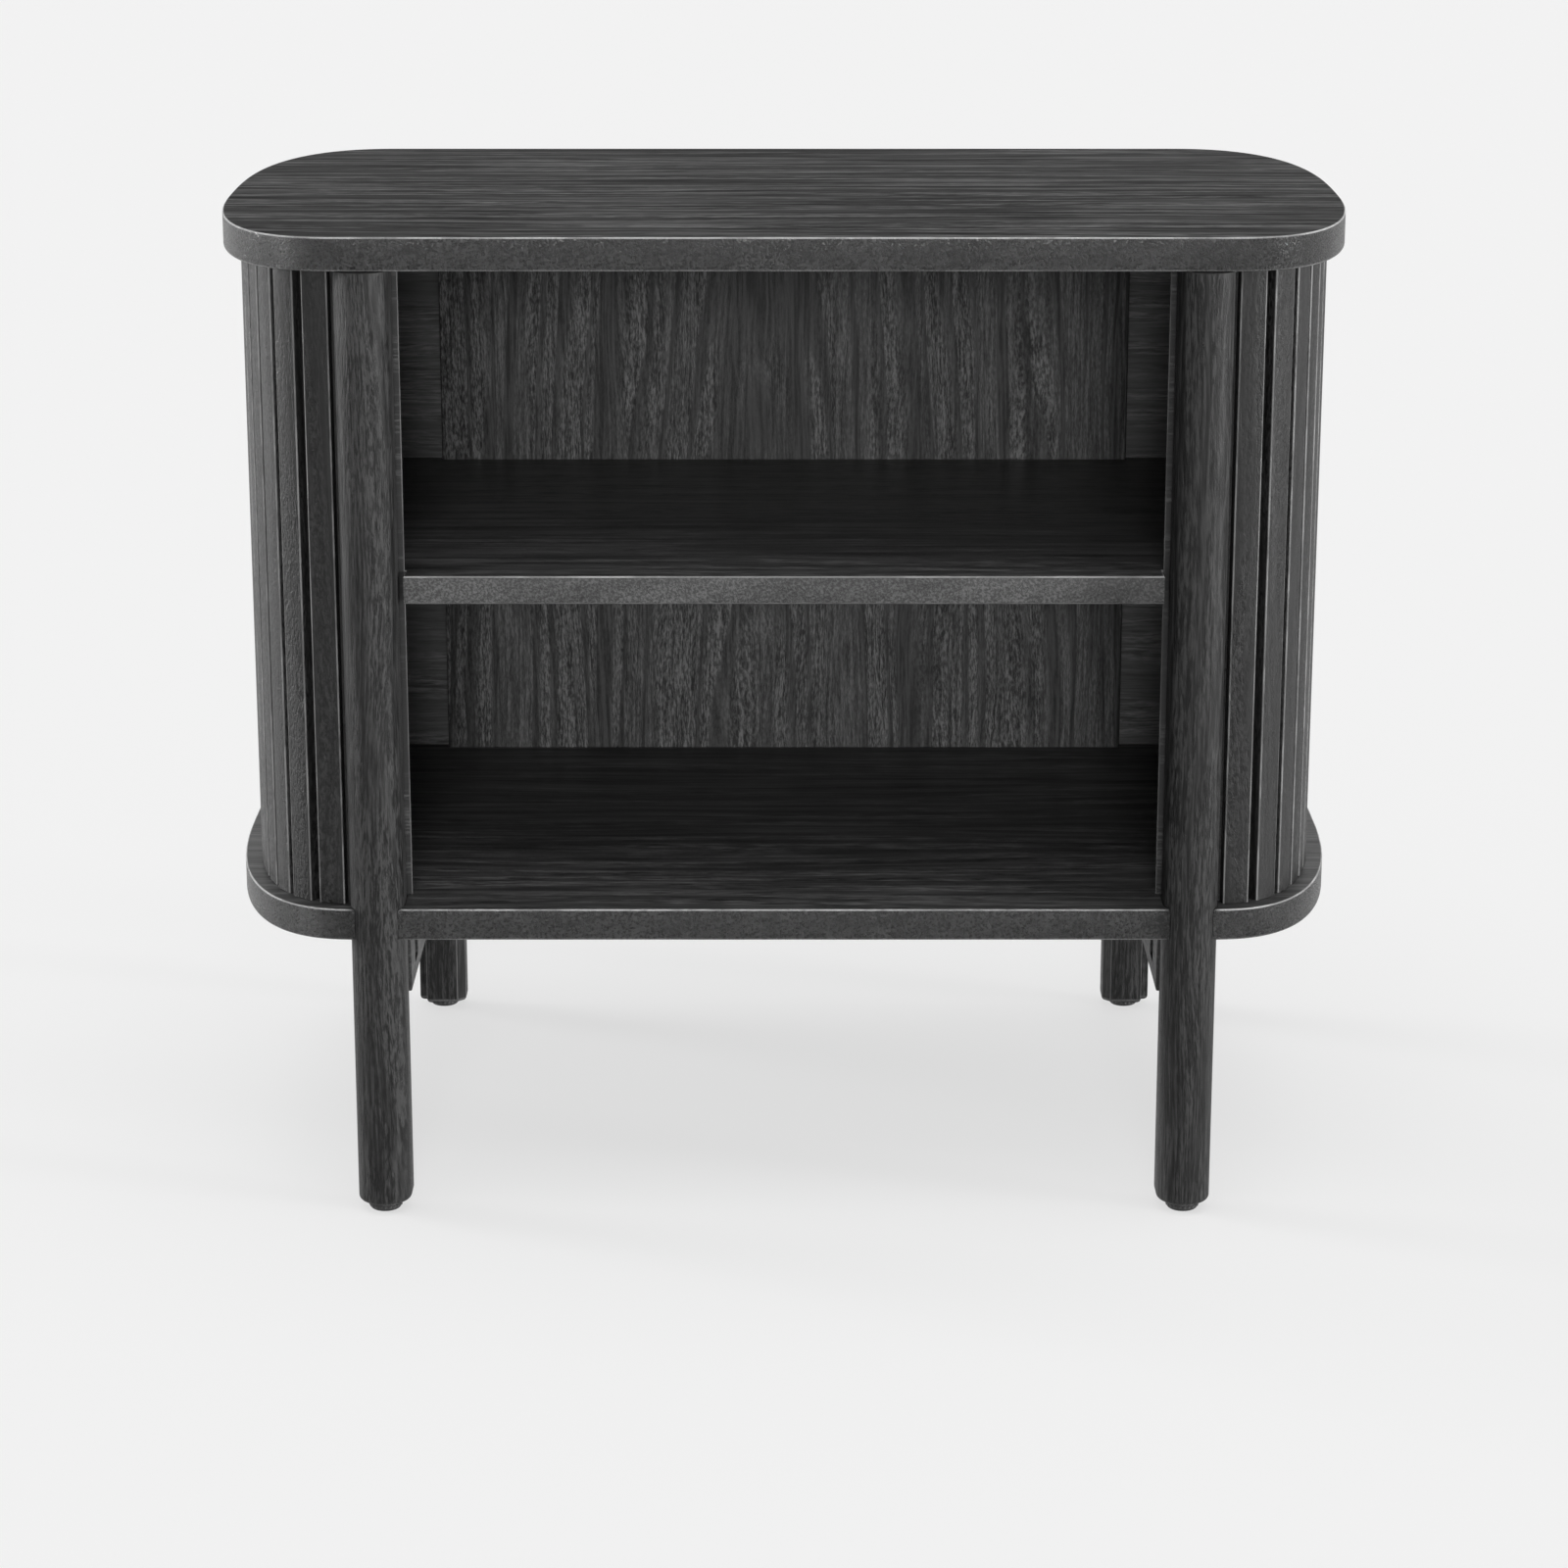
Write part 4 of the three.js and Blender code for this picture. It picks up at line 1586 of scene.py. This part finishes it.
@dataclass
class Glides:
    """The levelling glides: a knurled foot on a threaded stem, which turns in the leg's sleeve.

    Profiles are (radius, height) pairs. A rib's are how far in from the sleeve's radius and how
    far up from the rib's start each point lies.
    """

    sizes: Sizes
    foot_height: float = 5.2
    foot_radius: float = 8.4
    foot_rounding: float = 1.8
    rim_rounding: float = 0.6
    lip: float = 0.05
    knurl_radius: float = 9.0
    knurl_depth: float = 0.4
    knurl: Point = (1.8, 3.2)
    teeth: int = 22
    tooth_corners: int = 4
    head_room: Point = (1.2, 3.8)
    stem_radius: float = 3.0
    stem_top: float = 27.2
    stem_head: tuple[Point, ...] = ((4.6, 1.5), (5.0, 1.9), (5.0, 3.1), (4.6, 3.5))
    stem_tip: float = 0.8
    thread: Point = (4.6, 26.0)
    thread_pitch: float = 1.0
    thread_depth: float = 0.45
    root_share: float = 0.42
    crest_share: float = 0.15
    turn_steps: int = 24
    sleeve_radius: float = 5.0
    sleeve: Point = (5.8, 19.8)
    sleeve_mouth: tuple[Point, ...] = ((0.3, 0.0), (0.0, 0.3), (0.0, 1.2), (0.5, 1.6))
    rib: tuple[Point, ...] = ((0.5, 0.0), (0.1, 0.5), (0.1, 1.4), (0.5, 1.9))
    rib_start: float = 2.4
    rib_pitch: float = 2.6
    ribs: int = 4
    sleeve_end: tuple[Point, ...] = ((0.5, -0.4), (0.9, 0.0))
    sharp_foot_edge: float = 30.0
    sharp_edge: float = 35.0

    def foot_profile(self) -> list[Point]:
        """The foot's profile: a rounded puck with a raised ring round it.

        Returns:
            The profile, from the bottom to the top.
        """
        r, h, low, rim = self.foot_radius, self.foot_height, self.foot_rounding, self.rim_rounding
        rise = [math.radians(t) for t in range(0, 80, 13)]
        fall = [math.radians(t) for t in (0, 22, 45, 67, 90)]
        start, end = self.knurl
        return [
            *((r - low + low * math.sin(a), low - low * math.cos(a)) for a in rise),
            (r + self.lip, start - self.lip),
            (self.knurl_radius, start),
            (self.knurl_radius, end),
            (r + self.lip, end + self.lip),
            *((r - rim + rim * math.cos(a), h - rim + rim * math.sin(a)) for a in fall),
        ]

    def foot(self) -> Piece:
        """The foot at the origin, with its teeth and with room for the stem and its head.

        Returns:
            The foot.
        """
        s, low = self.sizes, self.head_room[0]
        foot = turned("foot", self.foot_profile(), self.tooth_corners * self.teeth)
        self.cut_teeth(foot)
        top = self.foot_height + OVERRUN
        cut(foot, upright_bore(s.glide_sleeve_hole, (0, 0), *self.head_room, ROUND_SIDES),
            upright_bore(s.stem_hole, (0, 0), low, top, ROUND_SIDES))
        smooth(foot, self.sharp_foot_edge)
        return foot

    def cut_teeth(self, foot: Piece) -> None:
        """Pulls in two of every four corners of the ring, which leaves teeth.

        Args:
            foot: The foot.
        """
        corners = self.tooth_corners * self.teeth

        def in_gap(vertex: bmesh.types.BMVert) -> bool:
            """Whether a point of the ring lies between two teeth.

            Args:
                vertex: The point.

            Returns:
                Whether it does.
            """
            step = round(math.atan2(vertex.co.y, vertex.co.x) / (2 * math.pi) * corners)
            on_ring = vertex.co.xy.length / MM > self.knurl_radius - self.lip
            return on_ring and step % self.tooth_corners in (0, 1)

        with editing(foot, "VERT"):
            pick(foot, "verts", in_gap)
            ratio = 1 - self.knurl_depth / self.knurl_radius
            bpy.ops.transform.resize(value=(ratio, ratio, 1),
                                     center_override=(0, 0, self.knurl[0] * MM))

    def stem(self) -> Piece:
        """The stem at the origin: a head, a core and a thread wound round it.

        Returns:
            The stem.
        """
        core, neck, top = self.stem_radius - self.thread_depth, self.stem_head[-1][1], self.stem_top
        shank = ((core, neck), (core, top - self.stem_tip), (core - self.stem_tip, top))
        stem = joined([turned("stem", (*self.stem_head, *shank)), self.wind_thread(core)], "stem")
        smooth(stem, self.sharp_edge)
        return stem

    def wind_thread(self, core: float) -> Piece:
        """A ridge wound round the stem: one section is added and the Screw modifier winds it.

        Args:
            core: The stem's radius under the thread.

        Returns:
            The closed ridge.
        """
        (low, high), pitch = self.thread, self.thread_pitch
        inside, outside = (core - self.lip) * MM, self.stem_radius * MM
        root = self.root_share * pitch * MM
        crest = self.crest_share * root
        bpy.ops.mesh.primitive_circle_add(vertices=4, radius=1, fill_type="NOTHING")
        ridge = take_new("thread")
        corners = [(inside, -root), (outside, -crest), (outside, crest), (inside, root)]
        for vertex, (x, z) in zip(ridge.data.vertices, corners):
            vertex.co = (x, 0, low * MM + z)
        turns = (high - low) / pitch
        modifier = ridge.modifiers.new("wind", "SCREW")
        modifier.axis = "Z"
        modifier.angle = 2 * math.pi * turns
        modifier.screw_offset = (high - low) * MM
        modifier.steps = modifier.render_steps = round(self.turn_steps * turns)
        modifier.use_merge_vertices = False
        only(ridge)
        bpy.ops.object.modifier_apply(modifier=modifier.name)
        with editing(ridge, "EDGE"):
            bpy.ops.mesh.select_non_manifold()
            bpy.ops.mesh.fill()
            face_outward()
        return ridge

    def sleeve_in_leg(self) -> Piece:
        """The threaded sleeve in the leg, at the origin, with a flanged mouth and ribs.

        Returns:
            The sleeve.
        """
        r, (low, high) = self.sleeve_radius, self.sleeve
        profile = [(r - inwards, low + up) for inwards, up in self.sleeve_mouth]
        for i in range(self.ribs):
            z = low + self.rib_start + self.rib_pitch * i
            profile += [(r - inwards, z + up) for inwards, up in self.rib]
        profile += [(r - inwards, high + up) for inwards, up in self.sleeve_end]
        sleeve = turned("sleeve", profile)
        cut(sleeve, upright_bore(self.sizes.stem_hole, (0, 0), low - OVERRUN, high + OVERRUN,
                                 ROUND_SIDES))
        smooth(sleeve, self.sharp_edge)
        return sleeve

    def make(self, plastic: Material, steel: Material) -> None:
        """Builds the four glides and dresses them.

        Args:
            plastic: The feet's finish.
            steel: The stems' and sleeves' finish.
        """
        foot, stem, sleeve = self.foot(), self.stem(), self.sleeve_in_leg()
        for corner in self.sizes.corners():
            glide = f"glide_{corner.word}"
            for start, name, finish, slot, node, body in (
                (foot, "foot", plastic, "foot", "glide_foot", glide),
                (stem, "threaded_stem", steel, "steel", "glide_stem", glide),
                (sleeve, "sleeve", steel, "steel", "glide_insert", CABINET),
            ):
                piece = copied(start, f"{name}_{corner.word}", moved(*corner.centre))
                finished(piece, finish, f"{node}_{corner.word}", body)
        discard(foot, stem, sleeve)


# The studio


@dataclass(frozen=True)
class Sun:
    """A distant soft lamp.

    It leans by tilt degrees from straight overhead, turned from the front towards the left, and
    is as wide in the sky as softness says, in degrees.
    """

    name: str
    strength: float
    tilt: float
    turn: float
    softness: float


@dataclass
class Studio:
    """A pale seamless floor, soft light and the camera. Lengths in metres."""

    camera_place: Point3 = (0.0, -2.268, 0.829)
    pitch: float = 15.76
    lens: float = 95.3
    sensor: float = 36.0
    floor_width: float = 60.0
    pale: float = 0.915
    sky: float = 0.42
    shadow_share: float = 0.34
    suns: tuple[Sun, ...] = (
        Sun("front", strength=1.8, tilt=81.5, turn=0, softness=14),
        Sun("overhead", strength=1.05, tilt=8, turn=0, softness=60),
        Sun("left_rim", strength=4.2, tilt=86, turn=110, softness=20),
        Sun("right", strength=6.4, tilt=89.5, turn=-72, softness=12),
    )

    def backdrop(self, tree: bpy.types.NodeTree, output: str, lit: tuple[str, dict], seen: str,
                 share: float = 1.0) -> None:
        """Shades the floor or world pale for the rays that see it, and otherwise as a lit surface.

        The rays that see it come from the camera, in gloss and through glass.

        Args:
            tree: The nodes of the floor or the world.
            output: The kind of output node.
            lit: The kind of shader for all other rays, with its sockets.
            seen: The kind of shader for what sees the backdrop.
            share: How much of the latter is shown.
        """
        nodes = Nodes(tree)
        path = nodes.add("LightPath").outputs
        rays = path["Is Camera Ray"]
        for name in ("Is Glossy Ray", "Is Transmission Ray"):
            rays = nodes.math("ADD", rays, path[name], clamp=True)
        light = nodes.add(*lit).outputs[0]
        pale = nodes.add(seen, {"Color": (*grey(self.pale), 1)}).outputs[0]
        mix = nodes.add("MixShader", {0: nodes.math("MULTIPLY", rays, share), 1: light, 2: pale})
        nodes.add(output, {"Surface": mix.outputs[0]})

    def floor(self) -> None:
        """The floor. It keeps the object's shadow, softened for what sees the backdrop."""
        bpy.ops.mesh.primitive_grid_add(x_subdivisions=2, y_subdivisions=2, size=self.floor_width)
        floor = take_new("studio_floor")
        material = bpy.data.materials.new("studio_floor")
        material.use_nodes = True
        lit = ("BsdfDiffuse", {"Color": (*grey(self.pale), 1)})
        self.backdrop(material.node_tree, "OutputMaterial", lit, "Emission", 1 - self.shadow_share)
        dress(floor, material)

    def world(self) -> None:
        """A pale surround that lights evenly."""
        world = bpy.data.worlds.new("studio")
        world.use_nodes = True
        lit = ("Background", {"Strength": self.sky})
        self.backdrop(world.node_tree, "OutputWorld", lit, "Background")
        bpy.context.scene.world = world

    def hung(self, data: bpy.types.Light | bpy.types.Camera, tilt: float,
             turn: float = 0.0) -> bpy.types.Object:
        """A lamp or camera in the scene, turned.

        Args:
            data: The lamp or camera.
            tilt: How far it leans from straight overhead, in degrees.
            turn: Which way it leans, in degrees from the front towards the left.

        Returns:
            Its object.
        """
        holder = bpy.data.objects.new(data.name, data)
        bpy.context.scene.collection.objects.link(holder)
        holder.rotation_euler = (math.radians(tilt), 0, -math.radians(turn))
        return holder

    def make(self) -> None:
        """Sets up the floor, the light and the camera, at the photograph's viewing angle."""
        self.floor()
        self.world()
        for sun in self.suns:
            lamp = bpy.data.lights.new(sun.name, "SUN")
            lamp.energy = sun.strength
            lamp.angle = math.radians(sun.softness)
            self.hung(lamp, sun.tilt, sun.turn)
        lens = bpy.data.cameras.new("camera")
        lens.lens = self.lens
        lens.sensor_width = self.sensor
        camera = self.hung(lens, 90 - self.pitch)
        camera.location = self.camera_place
        bpy.context.scene.camera = camera
        bpy.context.scene.view_settings.view_transform = "Standard"
        log.info("studio ready")


def board_finishes() -> BoardFinishes:
    """Makes the boards' materials. The one stained oak takes a tone of its own on each board and
    edge, set to how bright each looks where light and shade fall on it: painted light and shade.

    Returns:
        The materials.
    """
    straight = {"grain": Grain.ALONG_X, "ring_width": 14, "lean": 0.03}
    inner = {**straight, "figure": 0.08, "streak_size": (6, 160), "streaks": 0.36,
             "dash_size": (1.4, 16), "dashes": 0.60, "relief": 0.03}
    return BoardFinishes(
        top=StainedOak("oak_top", 0.067, **straight, pith=(-250, 420), figure=0.10,
                       rings_share=0.32, streak_size=(6, 150), streaks=0.46, dash_size=(1.4, 16),
                       dashes=0.60, relief=0.04, specular=0.002).build(),
        bottom=StainedOak("oak_bottom", 0.056, **inner, pith=(-260, 60), rings_share=0.20,
                          roughness=(0.34, 0.46), specular=0.12, cut_at=(40, 0, 190)).build(),
        shelf=StainedOak("oak_shelf", 0.053, **inner, pith=(-280, 250), rings_share=0.22,
                         roughness=(0.30, 0.42), specular=0.20, cut_at=(210, 0, 330)).build(),
        edging=OakEdging("oak_edging", 0.0115, pits=0.95, relief=0.42, roughness=(0.26, 0.40),
                         specular=0.34, edge_tone=0.42).build(),
        shelf_edging=OakEdging("oak_shelf_edging", 0.046, specular=0.2, edge_tone=0.36).build(),
    )


def main() -> None:
    """Builds the nightstand, piece by piece, and its studio."""
    Studio().make()
    sizes = Sizes()
    # The oak's tone differs from piece to piece to match how light and shade fall on it: the
    # lining, in the walls' shade, is lightened, and the slats and legs, in the rim light, darkened.
    # This is painted light and shade.
    slat_oak = StainedOak("oak_slats", 0.0085, Grain.UPRIGHT, pith=(400, 0), figure=0.08,
                          rings_share=0.05, streaks=0.35, dash_size=(1.4, 3.2), dashes=1.0,
                          relief=0.24, specular=0.24, edge_tone=0.30)
    leg_oak = StainedOak("oak_legs", 0.0125, Grain.UPRIGHT, pith=(0, 60), streak_size=(1.7, 42),
                         streaks=0.80, dash_size=(1.2, 7.0), dashes=1.1, relief=0.26,
                         cut_at=(70, 20, 0))
    panel_oak = StainedOak("oak_panel", 0.058, Grain.UPRIGHT, ring_width=21, pith=(-15, 148),
                           lean=0.10, figure=0.12, rings_share=0.26, streak_size=(2.1, 60),
                           dash_size=(0.8, 4.0), dashes=0.72, specular=0.12)
    lining_oak = StainedOak("oak_lining", 0.082, Grain.ALONG_X, pith=(0, 420), streaks=0.14,
                            dashes=0.25, specular=0.1, cut_at=(0, 160, 90))
    core_wood = StainedOak("bent_core", 0.020, Grain.UPRIGHT, figure=0.1, specular=0.1)
    rail_oak = StainedOak("oak_rails", 0.032, Grain.ALONG_Y, cut_at=(0, 40, 0))
    steel = ZincSteel().build()
    Boards(sizes).make(board_finishes())
    Walls(sizes).make(slat_oak.build(), lining_oak.build(), core_wood.build())
    BackPanel(sizes).make(panel_oak.build())
    Legs(sizes).make(leg_oak.build())
    Rails(sizes).make(rail_oak.build())
    Glides(sizes).make(MouldedPlastic().build(), steel)
    keep_nodes(("leg_dowel_", "wall_dowel_", "shelf_dowel_"), Dowel().build())
    keep_nodes(("rail_bolt_", "board_screw_"), steel)


if __name__ == "__main__":
    main()
